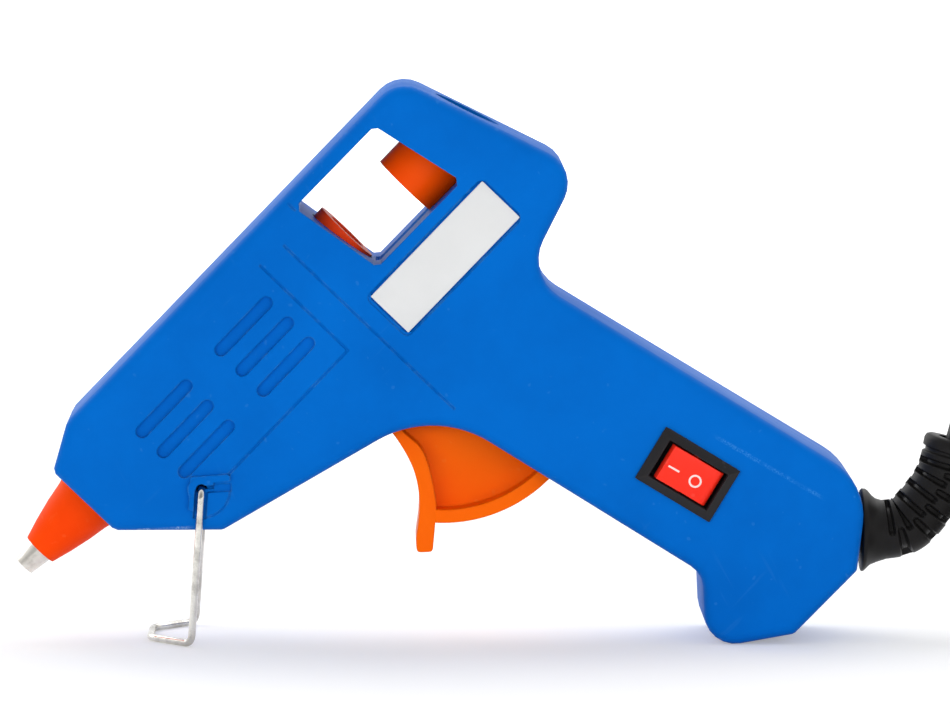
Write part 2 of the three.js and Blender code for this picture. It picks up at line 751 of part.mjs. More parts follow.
function contactPlate(low, top) {
  const plate = block(heaterEnds.front, heaterEnds.rear, -heaterHalfWide, heaterHalfWide, low, top);
  const tab = block(heaterEnds.rear - slightest, contactTab.rear, -contactTab.halfWide, contactTab.halfWide, low, top);
  return plate.add(tab);
}

function inletSleeve() {
  return carved(barrelRod(sleeve.radius, sleeve.front, sleeve.mouth, fine), [
    barrelRod(chamberSpigot.radius + fitGap, sleeve.front - overrun, sleeve.socketRear, fine),
    barrelRod(sleeve.bore, sleeve.front, sleeve.mouth + overrun, fine),
  ]);
}

function sleeveClip() {
  return barrelRod(clip.outer, clip.front, clip.rear, medium)
    .subtract(barrelRod(sleeve.radius + fitGap, clip.front - overrun, clip.rear + overrun, fine));
}

function stickCarrier() {
  const tube = barrelRod(carrier.radius, carrier.front, carrier.rear, fine, carrier.drop);
  const lugs = [-1, 1].map((way) => block(lug.front, lug.rear,
    Math.min(way * lug.inner, way * lug.outer), Math.max(way * lug.inner, way * lug.outer),
    lug.low, carrier.drop));
  return carved(joined([tube, ...lugs]), [
    barrelRod(carrier.bore, carrier.front - overrun, carrier.rear + overrun, fine),
    block(carrierSlot.front, carrier.rear + overrun, -carrierSlot.halfWide, carrierSlot.halfWide,
      lug.low - overrun, 0),
    crossRod(pinRadius + fitGap, -halfWidth, halfWidth, jawPin, coarse),
  ]);
}

function gripJaw() {
  return carved(slice(jawOutline, -jawHalfWide, jawHalfWide), [
    crossRod(pinRadius + fitGap - slightest, -halfWidth, halfWidth, jawPin, coarse),
    crossRod(pinRadius + fitGap - slightest, -halfWidth, halfWidth, linkRearPin, coarse),
  ]);
}

function linkFrontPin() {
  const lean = radians(arm.lean);
  const low = arm.reach * Math.cos(lean);
  return { along: pivot.along + arm.reach * Math.sin(lean), up: pivot.up + low };
}

function driveLink() {
  const bar = block(linkBar.front, linkBar.rear, -linkBar.halfWide, linkBar.halfWide, linkBar.low, linkBar.top);
  const boss = block(linkBlock.front, linkBlock.rear, -lug.outer, lug.outer, linkBar.low, linkBar.top);
  const tail = block(linkBlock.front, linkBlock.rear, -lug.outer, lug.outer, linkLugLow, linkBar.low + slightest);
  const forks = [-1, 1].map((way) => block(linkBlock.rear - slightest, linkFork.rear,
    Math.min(way * lug.inner, way * lug.outer), Math.max(way * lug.inner, way * lug.outer),
    linkBar.low, linkBar.top));
  return carved(joined([bar, boss, tail, ...forks]), [
    crossRod(pinRadius + fitGap, -halfWidth, halfWidth, linkRearPin, coarse),
    crossRod(pinRadius + fitGap, -halfWidth, halfWidth, linkFrontPin(), coarse),
  ]);
}

function crossPin(place, reach) {
  return crossRod(pinRadius, -reach, reach, place, coarse);
}

function arcPoints(place, radius, start, end, steps) {
  return Array.from({ length: steps + 1 }, (_, at) => {
    const turn = radians(start + ((end - start) * at) / steps);
    return [place.along + radius * Math.cos(turn), place.up + radius * Math.sin(turn)];
  });
}

function triggerBody() {
  const half = triggerHalfWide;
  const face = arcPoints(pivot, triggerFace.radius, triggerFace.start, triggerFace.end, 4);
  const back = arcPoints(pivot, triggerFace.radius - padThick, triggerFace.start, triggerFace.end, 4);
  const pad = slice([...face, ...padEdge, ...back.slice(0, -1).reverse()], -half, half);
  const { outer, inner, start, end } = triggerRim;
  const rim = slice([...arcPoints(pivot, outer, start, end, 6),
    ...arcPoints(pivot, inner, start, end, 6).reverse()], -half, half);
  const middle = (outer + inner) / 2;
  const web = slice([[pivot.along, pivot.up + pivotPin.radius],
    ...arcPoints(pivot, triggerFace.radius - padThick / 2, triggerFace.start, triggerFace.end, 4),
    ...padEdge.slice(-3).reverse(), ...arcPoints(pivot, middle, start, end, 6),
    [pivot.along + pivotPin.radius, pivot.up]], -triggerWeb, triggerWeb);
  const boss = crossRod(pivotBoss.radius, -half, half, pivot, medium);
  return carved(joined([pad, rim, web, boss, ...triggerArms()]), [
    crossRod(pivotPin.radius + fitGap, -halfWidth, halfWidth, pivot, medium),
  ]);
}

// Two arms above the pivot, slotted for the link's front pin
function triggerArms() {
  const lean = radians(90 - arm.lean);
  const ahead = [Math.cos(lean), Math.sin(lean)];
  const aside = [Math.sin(lean), -Math.cos(lean)];
  const at = (reach, side) => [pivot.along + ahead[0] * reach + aside[0] * side,
    pivot.up + ahead[1] * reach + aside[1] * side];
  const end = arm.reach + arm.halfLong - fitGap;
  const outline = [at(0, -arm.halfLong), at(0, arm.halfLong), at(end, arm.halfLong), at(end, -arm.halfLong)];
  const room = pinRadius + fitGap + slightest;
  const slot = [at(arm.slotLow - room, -room), at(arm.slotLow - room, room),
    at(arm.reach + room, room), at(arm.reach + room, -room)];
  return [-1, 1].map((way) => {
    const from = Math.min(way * arm.inner, way * arm.outer);
    const to = Math.max(way * arm.inner, way * arm.outer);
    return slice(outline, from, to).subtract(slice(slot, from - overrun, to + overrun));
  });
}

// Rings of a section carried along a line, kept upright to a given side direction
function swept(line, sides, section) {
  const rings = line.map((point, at) => {
    const before = line[Math.max(0, at - 1)];
    const after = line[Math.min(line.length - 1, at + 1)];
    const along = after.clone().sub(before).normalize();
    const wide = sides[at].clone().addScaledVector(along, -sides[at].dot(along)).normalize();
    const thin = along.clone().cross(wide);
    return section(at).map(([a, b]) => point.clone().addScaledVector(wide, a).addScaledVector(thin, b));
  });
  return solidFromRings(rings, fan(rings[0].length));
}

function roundSection(radius, sides) {
  return Array.from({ length: sides }, (_, at) => {
    const turn = ((at + 0.5) / sides) * 2 * Math.PI;
    return [radius * Math.cos(turn), radius * Math.sin(turn)];
  });
}

function cordSection() {
  const bend = cordThick * 0.3;
  const wide = cordWide / 2;
  const thin = cordThick / 2;
  return [[wide, -thin + bend], [wide, thin - bend], [wide - bend, thin], [bend - wide, thin],
    [-wide, thin - bend], [-wide, bend - thin], [bend - wide, -thin], [wide - bend, -thin]];
}

// Side directions that turn least from point to point
function steadySides(line, first) {
  let side = first.clone();
  return line.map((point, at) => {
    const before = line[Math.max(0, at - 1)];
    const after = line[Math.min(line.length - 1, at + 1)];
    const along = after.clone().sub(before).normalize();
    side = side.clone().addScaledVector(along, -side.dot(along)).normalize();
    return side;
  });
}

function bentLine(corners, bend, steps) {
  const line = [corners[0]];
  for (let at = 1; at + 1 < corners.length; at += 1) {
    const into = corners[at].clone().sub(corners[at - 1]).normalize();
    const out = corners[at + 1].clone().sub(corners[at]).normalize();
    const from = corners[at].clone().addScaledVector(into, -bend);
    const to = corners[at].clone().addScaledVector(out, bend);
    const curve = new THREE.QuadraticBezierCurve3(from, corners[at], to);
    line.push(...curve.getPoints(steps));
  }
  line.push(corners[corners.length - 1]);
  return line;
}

function returnSpring() {
  const front = springRib.rear + fitGap + spring.wire;
  const rear = linkBlock.front - fitGap - spring.wire;
  const count = spring.turns * spring.steps;
  const line = Array.from({ length: count + 1 }, (_, at) => {
    const turn = (at / spring.steps) * 2 * Math.PI;
    return spot(front + ((rear - front) * at) / count, spring.radius * Math.cos(turn),
      springAxis + spring.radius * Math.sin(turn));
  });
  const sides = line.map((point) => spot(0, point.y, point.z - springAxis).normalize());
  return swept(line, sides, () => roundSection(spring.wire, spring.sides));
}

function innerLead(corners) {
  const line = bentLine(corners.map(([x, y, z]) => spot(x, y, z)), leadBend, 3);
  return swept(line, steadySides(line, spot(0.2, 0.9, 0.3)), () => roundSection(leadRadius, leadSides));
}

// Everything built above stands in the gun's frame; these carry points to the standing frame
const rightHalf = rightShell();

function toStanding(along, up) {
  return [along * Math.cos(tilt) - up * Math.sin(tilt), along * Math.sin(tilt) + up * Math.cos(tilt)];
}

function lowestOf(solid) {
  const { vertProperties, numProp } = solid.getMesh();
  let lowest = Infinity;
  for (let at = 0; at < vertProperties.length; at += numProp) {
    lowest = Math.min(lowest, toStanding(vertProperties[at], vertProperties[at + 2])[1]);
  }
  return lowest;
}

const lift = -lowestOf(rightHalf);

function standing(place, across = 0) {
  const [x, z] = toStanding(place.along, place.up);
  return spot(x, across, z + lift);
}

const exitPoint = standing(exitSpot);

function wireStand() {
  const top = standing(hub);
  const drop = top.z - wireRadius;
  const heelX = top.x - drop * Math.tan(radians(wireLegLean));
  const corners = [
    spot(top.x, -wireStub, top.z), spot(top.x, -wireSide, top.z),
    spot(heelX, -wireSide, wireRadius), spot(heelX - wireFoot, -wireFootHalf, wireRadius),
    spot(heelX - wireFoot, wireFootHalf, wireRadius), spot(heelX, wireSide, wireRadius),
    spot(top.x, wireSide, top.z), spot(top.x, wireStub, top.z),
  ];
  const line = bentLine(corners, wireBend, 3);
  return swept(line, steadySides(line, spot(1, 0, 0)), () => roundSection(wireRadius, wireSides));
}

function reliefPoints() {
  return reliefLine.map(([out, up]) => spot(exitPoint.x + out, 0, exitPoint.z + up));
}

function evenPoints(points, count) {
  return new THREE.CatmullRomCurve3(points, false, "centripetal").getSpacedPoints(count);
}

// One ring pair for each rib, so the tube's outside goes in and out along its length
function strainRelief() {
  const line = evenPoints(reliefPoints().slice(1), 3 * reliefRibs);
  const count = line.length - 1;
  const radiusAt = (at) => {
    const share = at / count;
    if (share < 0.1) {
      return reliefBase.radius;
    }
    if (share > 0.88) {
      return reliefCollar;
    }
    const full = share < 0.22 ? reliefBase.end : reliefBody;
    return at % 3 === 0 ? reliefGroove : full;
  };
  const sides = line.map(() => spot(0, 1, 0));
  const skin = swept(line, sides, (at) => roundSection(radiusAt(at), reliefSides));
  const start = reliefPoints()[0];
  const neckEnd = reliefBase.start - reliefFlange.front + slightest;
  const neck = spun([[reliefNeck.start - reliefFlange.front - slightest, reliefNeck.radius],
    [neckEnd, reliefNeck.radius]], start, spot(1, 0, 0), reliefSides);
  const flange = spun([[0, reliefFlange.radius], [reliefFlange.rear - reliefFlange.front, reliefFlange.radius]],
    start, spot(1, 0, 0), reliefSides);
  const boreLine = evenPoints(reliefPoints(), 12);
  boreLine.unshift(boreLine[0].clone().add(spot(-overrun, 0, 0)));
  const last = boreLine[boreLine.length - 1];
  const heading = last.clone().sub(boreLine[boreLine.length - 2]).normalize();
  boreLine.push(last.clone().addScaledVector(heading, overrun));
  const bore = swept(boreLine, boreLine.map(() => spot(0, 1, 0)), () => roundSection(reliefBore, reliefSides));
  return joined([skin, neck, flange]).subtract(bore);
}

function cordInner() {
  const points = reliefPoints();
  const inside = [cordInnerEnd, cordInnerEnd / 2].map((out) => spot(exitPoint.x + out, 0, exitPoint.z));
  const line = evenPoints([...inside, ...points], 18);
  return swept(line, line.map(() => spot(0, 1, 0)), () => cordSection());
}

// The route starts a gap beyond the strain relief's mouth, square to it
function routePoints() {
  const [before, mouth] = reliefPoints().slice(-2);
  const heading = mouth.clone().sub(before).normalize();
  return [
    mouth.clone().addScaledVector(heading, fitGap),
    mouth.clone().addScaledVector(heading, cordWide),
    ...cordRoute.map(([out, across, up]) => spot(exitPoint.x + out, across, up)),
    hankPoint(0).add(spot(-hankStart - fitGap - cordWide, 0, 0)),
    hankPoint(0).add(spot(-hankStart - fitGap, 0, 0)),
  ];
}

// The free stretch turns its flat side from level to upright as it comes down
function cordLead() {
  const line = evenPoints(routePoints(), 40);
  const lines = line.map((point, at) => {
    const before = line[Math.max(0, at - 1)];
    const after = line[Math.min(line.length - 1, at + 1)];
    return after.clone().sub(before).normalize();
  });
  const sides = lines.map((along, at) => {
    const share = THREE.MathUtils.smoothstep(at / (lines.length - 1), 0.3, 0.96);
    const level = spot(0, 1, 0).addScaledVector(along, -along.y).normalize();
    const upright = along.clone().cross(level);
    const turn = (share * Math.PI) / 2;
    return level.multiplyScalar(Math.cos(turn)).addScaledVector(upright, Math.sin(turn));
  });
  return { line, solid: swept(line, sides, () => cordSection()) };
}

// Where the hank's line is after a number of turns, in and then out, a layer lower on the way
function hankPoint(turns) {
  const radius = hank.inner + hank.step * Math.abs(turns - hankTurnBack);
  const phase = ((turns % 1) + 1) % 1;
  const quarter = Math.floor(phase * 4);
  const within = phase * 4 - quarter;
  const half = hank.run / 2;
  const middle = exitPoint.x + hank.middle;
  const height = hankLowest + hankRise * (1 - THREE.MathUtils.smoothstep(turns, 2.28, 2.47));
  if (quarter % 2 === 0) {
    const turn = Math.PI / 2 - (within + quarter / 2) * Math.PI;
    const end = quarter === 0 ? half : -half;
    return spot(middle + end + radius * Math.cos(turn), radius * Math.sin(turn), height);
  }
  const way = quarter === 1 ? -1 : 1;
  const along = way * (within * hank.run - half);
  return spot(middle + along, way * (radius - drawnIn(along) - dipAt(turns)), height);
}

function drawnIn(along) {
  const share = Math.min(1, Math.abs(along) / (hank.waistRun / 2));
  return (hank.drawn * (1 + Math.cos(share * Math.PI))) / 2;
}

function dipAt(turns) {
  const share = Math.min(1, Math.abs(turns - hankTurnBack) / 0.125);
  return (hank.dip * (1 + Math.cos(share * Math.PI))) / 2;
}

function cordHank() {
  const first = hankPoint(0);
  const points = [spot(first.x - hankStart, first.y, first.z)];
  const count = hankTurns * 4 * hankQuarterSteps;
  for (let at = 0; at <= count; at += 1) {
    points.push(hankPoint(at / (4 * hankQuarterSteps)));
  }
  const last = points[points.length - 1];
  const tail = tailRoute.map(([out, across, up]) => spot(last.x + out, across, up));
  points.push(...evenPoints([last, ...tail], 10).slice(1));
  return points;
}

function tieBand() {
  const middle = exitPoint.x + hank.middle;
  const { halfWide, low, top, thick, halfRun } = tie;
  const ring = (x, grow) => [[-halfWide - grow, low - grow], [halfWide + grow, low - grow],
    [halfWide + grow, top + grow], [-halfWide - grow, top + grow]].map(([y, z]) => spot(x, y, z));
  const outer = solidFromRings([ring(middle - halfRun, thick), ring(middle + halfRun, thick)], fan(4));
  const inner = solidFromRings([ring(middle - halfRun - overrun, 0), ring(middle + halfRun + overrun, 0)], fan(4));
  return outer.subtract(inner);
}

function plugBody(rear) {
  const rings = plugStations.map(([share, wide, high]) => {
    const x = rear.x + fitGap + share * plug.long;
    const half = { y: (wide * plug.across) / 2, z: (high * plug.thick) / 2 };
    return Array.from({ length: 16 }, (_, at) => {
      const turn = ((at + 0.5) / 16) * 2 * Math.PI;
      const c = Math.cos(turn);
      const s = Math.sin(turn);
      return spot(x, rear.y + half.y * Math.sign(c) * Math.sqrt(Math.abs(c)),
        plug.thick / 2 + half.z * Math.sign(s) * Math.sqrt(Math.abs(s)));
    });
  });
  const body = solidFromRings(rings, fan(16));
  return carved(body, [-1, 1].map((way) => plugPinRod(rear, way, fitGap, overrun)));
}

function plugPinRod(rear, way, margin, extra) {
  const face = rear.x + fitGap + plug.long;
  const start = face - plugPin.root - margin;
  return spun([[0, plugPin.radius + margin], [plugPin.root + plugPin.long + margin + extra, plugPin.radius + margin]],
    spot(start, rear.y + way * plugPin.spread, plug.thick / 2), spot(1, 0, 0), coarse);
}

// Least distance between parts of the wound line that lie more than a third of a turn apart
function reportLeastGap(points) {
  const apart = 2 * hankQuarterSteps;
  let least = Infinity;
  for (let a = 0; a < points.length; a += 1) {
    for (let b = a + apart; b < points.length; b += 1) {
      const flat = Math.hypot(points[a].x - points[b].x, points[a].y - points[b].y) - cordThick;
      const high = Math.abs(points[a].z - points[b].z) - cordWide;
      least = Math.min(least, Math.max(flat, high));
    }
  }
  console.log(`least gap of the hank to itself ${least.toFixed(2)} mm`);
}

function lineLength(points) {
  return points.slice(1).reduce((sum, point, at) => sum + point.distanceTo(points[at]), 0);
}

function material(colour, roughness, metalness = 0) {
  return new THREE.MeshStandardMaterial({ color: colour, roughness, metalness });
}

const whole = new THREE.Group();
const gun = new THREE.Group();
gun.rotation.y = -tilt;
gun.position.z = lift;
whole.add(gun);

function geometryOf(solid) {
  const { vertProperties, triVerts } = solid.getMesh();
  const geometry = new THREE.BufferGeometry();
  geometry.setAttribute("position", new THREE.BufferAttribute(new Float32Array(vertProperties), 3));
  geometry.setIndex(new THREE.BufferAttribute(new Uint32Array(triVerts), 1));
  geometry.computeVertexNormals();
  return geometry;
}

function add(group, name, solid, look) {
  const mesh = new THREE.Mesh(geometryOf(solid), look);
  mesh.name = name;
  group.add(mesh);
  return mesh;
}

const blue = () => material(0x0067c8, 0.42);
const orange = () => material(0xff6a00, 0.45);
const steel = () => material(0xb9bcc0, 0.3, 1);
const black = () => material(0x151516, 0.6);

add(gun, "left_shell", leftShell(), blue());
add(gun, "right_shell", rightHalf, blue());
add(gun, "label", label(), material(0xe3e5e4, 0.5));
add(gun, "nozzle_cover", nozzleCover(), material(0xff4800, 0.5));
add(gun, "nozzle_tip", nozzleTip(), material(0xc4c6c8, 0.35, 1));
add(gun, "melt_chamber", meltChamber(), material(0xb4b6b8, 0.4, 1));
add(gun, "heater_film", heaterFilm(), material(0xc88a2c, 0.4));
const stack = heaterStack();
add(gun, "heater_contact_top", contactPlate(stack.topUnder, stack.room.top), steel());
add(gun, "heater_contact_low", contactPlate(stack.room.low, stack.lowOver), steel());
add(gun, "heater_element", block(heaterEnds.front, heaterEnds.rear, -heaterHalfWide, heaterHalfWide,
  stack.lowOver + slightest, stack.topUnder - slightest), material(0xb9ab94, 0.7));
add(gun, "inlet_sleeve", inletSleeve(), material(0xe8380c, 0.55));
add(gun, "sleeve_clip", sleeveClip(), steel());
add(gun, "stick_carrier", stickCarrier(), material(0xff5a00, 0.45));
add(gun, "grip_jaw", gripJaw(), steel());
add(gun, "jaw_pin", crossPin(jawPin, lug.outer), steel());
add(gun, "drive_link", driveLink(), steel());
add(gun, "link_pin_rear", crossPin(linkRearPin, lug.outer), steel());
add(gun, "link_pin_front", crossPin(linkFrontPin(), arm.outer), steel());
add(gun, "trigger", triggerBody(), orange());
add(gun, "trigger_pin", crossRod(pivotPin.radius, -pivotPin.reach, pivotPin.reach, pivot, medium), steel());
add(gun, "return_spring", returnSpring(), steel());
add(gun, "switch_body", switchBody(), black());
add(gun, "rocker", rockerButton(), material(0xff2a1a, 0.35));
add(gun, "switch_terminal_front", terminalSlice(-1, 0, terminal.inner), steel());
add(gun, "switch_terminal_rear", terminalSlice(1, 0, terminal.inner), steel());
for (const place of screwSpots) {
  add(gun, `housing_screw_${place.name}`, housingScrew(place), steel());
}
add(gun, "cord_clamp", cordClamp(), black());
add(gun, "clamp_screw_top", clampScrewSolid(1), steel());
add(gun, "clamp_screw_low", clampScrewSolid(-1), steel());
for (const [name, route] of Object.entries(leadRoutes)) {
  add(gun, name, innerLead(route), material(0x2b3a6b, 0.5));
}
add(whole, "wire_stand", wireStand(), steel());
add(whole, "strain_relief", strainRelief(), black());
add(whole, "cord_inner", cordInner(), black());

const hankLine = cordHank();
const lead = cordLead();
reportLeastGap(hankLine);
console.log(`cord: lead ${lineLength(lead.line).toFixed(0)} mm, hank ${lineLength(hankLine).toFixed(0)} mm`);
add(whole, "cord_lead", lead.solid, black());
add(whole, "cord_hank", swept(hankLine, hankLine.map(() => spot(0, 0, 1)), () => cordSection()), black());
add(whole, "hank_tie", tieBand(), black());
const plugRear = hankLine[hankLine.length - 1];
add(whole, "plug_body", plugBody(plugRear), black());
add(whole, "plug_pin_left", plugPinRod(plugRear, -1, 0, 0), steel());
add(whole, "plug_pin_right", plugPinRod(plugRear, 1, 0, 0), steel());

const cordNames = ["cord_lead", "cord_hank", "hank_tie", "plug_body", "plug_pin_left", "plug_pin_right"];
whole.updateMatrixWorld(true);
const span = new THREE.Box3();
whole.traverse((mesh) => {
  if (mesh.isMesh && !cordNames.includes(mesh.name)) {
    span.expandByObject(mesh, true);
  }
});
whole.position.x = -(span.min.x + span.max.x) / 2;
whole.updateMatrixWorld(true);

export default whole;
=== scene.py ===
"""A small hot glue gun on its wire stand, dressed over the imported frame."""

import math

import bpy
from mathutils import Matrix, Vector


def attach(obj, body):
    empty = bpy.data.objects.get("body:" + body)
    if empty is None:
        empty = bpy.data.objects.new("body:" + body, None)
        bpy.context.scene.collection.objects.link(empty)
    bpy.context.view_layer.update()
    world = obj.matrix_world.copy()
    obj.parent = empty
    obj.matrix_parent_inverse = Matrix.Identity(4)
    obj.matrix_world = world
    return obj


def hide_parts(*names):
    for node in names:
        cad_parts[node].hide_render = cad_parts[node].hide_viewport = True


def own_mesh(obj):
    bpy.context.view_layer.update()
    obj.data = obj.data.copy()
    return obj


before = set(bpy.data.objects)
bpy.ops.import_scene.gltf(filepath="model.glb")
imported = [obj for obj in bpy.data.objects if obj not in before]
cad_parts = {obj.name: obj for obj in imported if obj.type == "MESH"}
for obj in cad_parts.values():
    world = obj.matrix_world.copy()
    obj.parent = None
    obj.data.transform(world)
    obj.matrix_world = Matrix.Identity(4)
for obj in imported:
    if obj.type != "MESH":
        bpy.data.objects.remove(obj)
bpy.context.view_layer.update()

MM = 0.001
HALF_TURN = math.pi
UP = Vector((0, 0, 1))
ACROSS = Vector((0, 1, 0))

# The gun's own frame, in mm: along the glue stick from the nose, up from it, and across
# to the right half
TILT = math.radians(46)
SHIFT_X = -71.98932544
LIFT_Z = 24.8000036

HALF_WIDTH = 13
EXIT = (89.85, -101.8)
CUT_OVER = 1
MERGED = 0.004 * MM
FLAT = math.radians(0.6)


def standing(along, up, across=0.0):
    """A place in the gun's own frame, in mm, as a place on the table, in metres."""
    x = along * math.cos(TILT) - up * math.sin(TILT) + SHIFT_X
    z = along * math.sin(TILT) + up * math.cos(TILT) + LIFT_Z
    return Vector((x, across, z)) * MM


def leaning(along, up, across=0.0):
    """A direction in the gun's own frame as a direction on the table."""
    return Vector((along * math.cos(TILT) - up * math.sin(TILT), across,
                   along * math.sin(TILT) + up * math.cos(TILT))).normalized()


EXIT_PLACE = standing(*EXIT)


def placed(name, data):
    piece = bpy.data.objects.new(name, data)
    bpy.context.scene.collection.objects.link(piece)
    return piece


# Camera

CAMERA_LENS = 234.3
CAMERA_PLACE = (-22.6, -1086, 160)
CAMERA_DIP = math.radians(5.85)
CAMERA_TURN = math.radians(0.98)


def place_camera():
    data = bpy.data.cameras.new("camera")
    data.lens = CAMERA_LENS
    data.sensor_width = 36
    data.sensor_fit = "HORIZONTAL"
    data.clip_start = 0.01
    data.clip_end = 20
    camera = placed("camera", data)
    camera.location = Vector(CAMERA_PLACE) * MM
    camera.rotation_euler = (HALF_TURN / 2 - CAMERA_DIP, 0, -CAMERA_TURN)
    bpy.context.scene.camera = camera


place_camera()


# Small tools

def pick(piece):
    if bpy.context.object and bpy.context.object.mode != "OBJECT":
        bpy.ops.object.mode_set(mode="OBJECT")
    bpy.ops.object.select_all(action="DESELECT")
    piece.select_set(True)
    bpy.context.view_layer.objects.active = piece


def shaped_by(piece, kind, **settings):
    """Adds a modifier with its settings and applies it."""
    modifier = piece.modifiers.new("shape", kind)
    for key, value in settings.items():
        setattr(modifier, key, value)
    pick(piece)
    bpy.ops.object.modifier_apply(modifier=modifier.name)


def smooth(piece, degrees=32):
    pick(piece)
    bpy.ops.object.shade_smooth_by_angle(angle=math.radians(degrees))


def bevelled(piece, width, segments=2, degrees=40):
    shaped_by(piece, "BEVEL", width=width * MM, segments=segments, limit_method="ANGLE",
              angle_limit=math.radians(degrees), use_clamp_overlap=True)


def combined(piece, other, operation):
    shaped_by(piece, "BOOLEAN", object=other, operation=operation, solver="EXACT")
    bpy.data.objects.remove(other, do_unlink=True)


def cut_by(piece, cutter):
    combined(piece, cutter, "DIFFERENCE")


def joined_with(piece, other):
    combined(piece, other, "UNION")


def new_piece(name, points, faces):
    mesh = bpy.data.meshes.new(name)
    mesh.from_pydata([tuple(p) for p in points], [], faces)
    mesh.update()
    return placed(name, mesh)


def merged_copy(node, name):
    """A CAD node's solid as a clean mesh of its own, its flat faces made whole."""
    piece = placed(name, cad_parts[node].data.copy())
    piece.data.materials.clear()
    pick(piece)
    bpy.ops.object.mode_set(mode="EDIT")
    bpy.ops.mesh.select_all(action="SELECT")
    bpy.ops.mesh.remove_doubles(threshold=MERGED)
    bpy.ops.mesh.dissolve_limited(angle_limit=FLAT)
    bpy.ops.object.mode_set(mode="OBJECT")
    for layer in list(piece.data.attributes):
        if layer.name in ("custom_normal", "sharp_edge", "sharp_face"):
            piece.data.attributes.remove(layer)
    return piece


def outwards(piece):
    pick(piece)
    bpy.ops.object.mode_set(mode="EDIT")
    bpy.ops.mesh.select_all(action="SELECT")
    bpy.ops.mesh.normals_make_consistent(inside=False)
    bpy.ops.object.mode_set(mode="OBJECT")


def prism(name, outline, front, back):
    """A slab with an outline in the gun's frame, from one depth across to another."""
    count = len(outline)
    points = [standing(a, u, depth) for depth in (front, back) for a, u in outline]
    faces = [list(range(count)), list(range(2 * count - 1, count - 1, -1))]
    faces += [[at, count + at, count + (at + 1) % count, (at + 1) % count]
              for at in range(count)]
    piece = new_piece(name, points, faces)
    outwards(piece)
    return piece


def rounded(corners, steps=5):
    """An outline with its corners rounded: each corner is (along, up, radius)."""
    outline = []
    count = len(corners)
    for at, (x, y, radius) in enumerate(corners):
        here = Vector((x, y))
        before = (Vector(corners[at - 1][:2]) - here).normalized()
        after = (Vector(corners[(at + 1) % count][:2]) - here).normalized()
        half = before.angle(after) / 2
        reach = radius / math.tan(half)
        middle = here + (before + after).normalized() * radius / math.sin(half)
        first = here + before * reach - middle
        last = here + after * reach - middle
        swing = first.angle_signed(last)
        for step in range(steps + 1):
            turned = first.copy()
            turned.rotate(Matrix.Rotation(-swing * step / steps, 2))
            outline.append(tuple(middle + turned))
    return outline


def band(sides, here, after):
    """Faces from one ring of points to the next; both are given by their first point."""
    return [[here + side, here + (side + 1) % sides, after + (side + 1) % sides, after + side]
            for side in range(sides)]


def looped(name, rings):
    """A solid from closed rings of points, the last ring joined to the first."""
    count = len(rings[0])
    points = [p for ring in rings for p in ring]
    faces = []
    for at in range(len(rings)):
        faces += band(count, at * count, (at + 1) % len(rings) * count)
    piece = new_piece(name, points, faces)
    outwards(piece)
    return piece


def arc(middle, radius, start, end, steps):
    """Places along an arc in the gun's frame, angles in degrees."""
    turns = [math.radians(start + (end - start) * at / steps) for at in range(steps + 1)]
    return [(middle[0] + radius * math.cos(t), middle[1] + radius * math.sin(t)) for t in turns]


def circle(middle, radius, steps=48):
    return arc(middle, radius, 0, 360 - 360 / steps, steps - 1)


def sector(centre, inner, outer, start, end, steps=36):
    """The outline of part of a ring in the gun's frame, angles in degrees."""
    far = arc(centre, outer, start, end, steps)
    near = arc(centre, inner, start, end, steps)[::-1]
    return far + (near if inner else [tuple(centre)])


def strip_outline(centre, degrees, half_width, first, last):
    """The outline of a straight strip leaving a centre at an angle."""
    turn = math.radians(degrees)
    run = Vector((math.cos(turn), math.sin(turn)))
    over = Vector((-run.y, run.x)) * half_width
    middle = Vector(centre)
    return [tuple(middle + run * first + over), tuple(middle + run * last + over),
            tuple(middle + run * last - over), tuple(middle + run * first - over)]


# Lines for wires and cords

FINE_STEPS = 24


def between(a, b, start, end, t):
    return a * ((end - t) / (end - start)) + b * ((t - start) / (end - start))


def catmull(points, count):
    """A centripetal curve through the points, as evenly spaced places."""
    ghosts = [points[0] * 2 - points[1], *points, points[-1] * 2 - points[-2]]
    fine = []
    for at in range(1, len(ghosts) - 2):
        p0, p1, p2, p3 = ghosts[at - 1:at + 3]
        t0 = 0
        t1 = t0 + math.sqrt((p1 - p0).length)
        t2 = t1 + math.sqrt((p2 - p1).length)
        t3 = t2 + math.sqrt((p3 - p2).length)
        for step in range(FINE_STEPS):
            t = t1 + (t2 - t1) * step / FINE_STEPS
            a1 = between(p0, p1, t0, t1, t)
            a2 = between(p1, p2, t1, t2, t)
            a3 = between(p2, p3, t2, t3, t)
            b1 = between(a1, a2, t0, t2, t)
            b2 = between(a2, a3, t1, t3, t)
            fine.append(between(b1, b2, t1, t2, t))
    fine.append(points[-1].copy())
    return spaced(fine, count)


def spaced(line, count):
    """The same line as count stretches of one length."""
    travelled = [0.0]
    for before, after in zip(line, line[1:]):
        travelled.append(travelled[-1] + (after - before).length)
    even = []
    at = 0
    for step in range(count + 1):
        goal = travelled[-1] * step / count
        while at < len(line) - 2 and travelled[at + 1] < goal:
            at += 1
        share = (goal - travelled[at]) / max(1e-12, travelled[at + 1] - travelled[at])
        even.append(line[at].lerp(line[at + 1], share))
    return even


def heading(line, at):
    return (line[min(len(line) - 1, at + 1)] - line[max(0, at - 1)]).normalized()


def bent_line(corners, bend, steps):
    line = [corners[0]]
    for before, here, after in zip(corners, corners[1:], corners[2:]):
        start = here + (before - here).normalized() * bend
        end = here + (after - here).normalized() * bend
        for step in range(steps + 1):
            t = step / steps
            line.append(start * (1 - t) ** 2 + here * 2 * t * (1 - t) + end * t ** 2)
    line.append(corners[-1])
    return line


def length_of(line):
    return sum((after - before).length for before, after in zip(line, line[1:]))


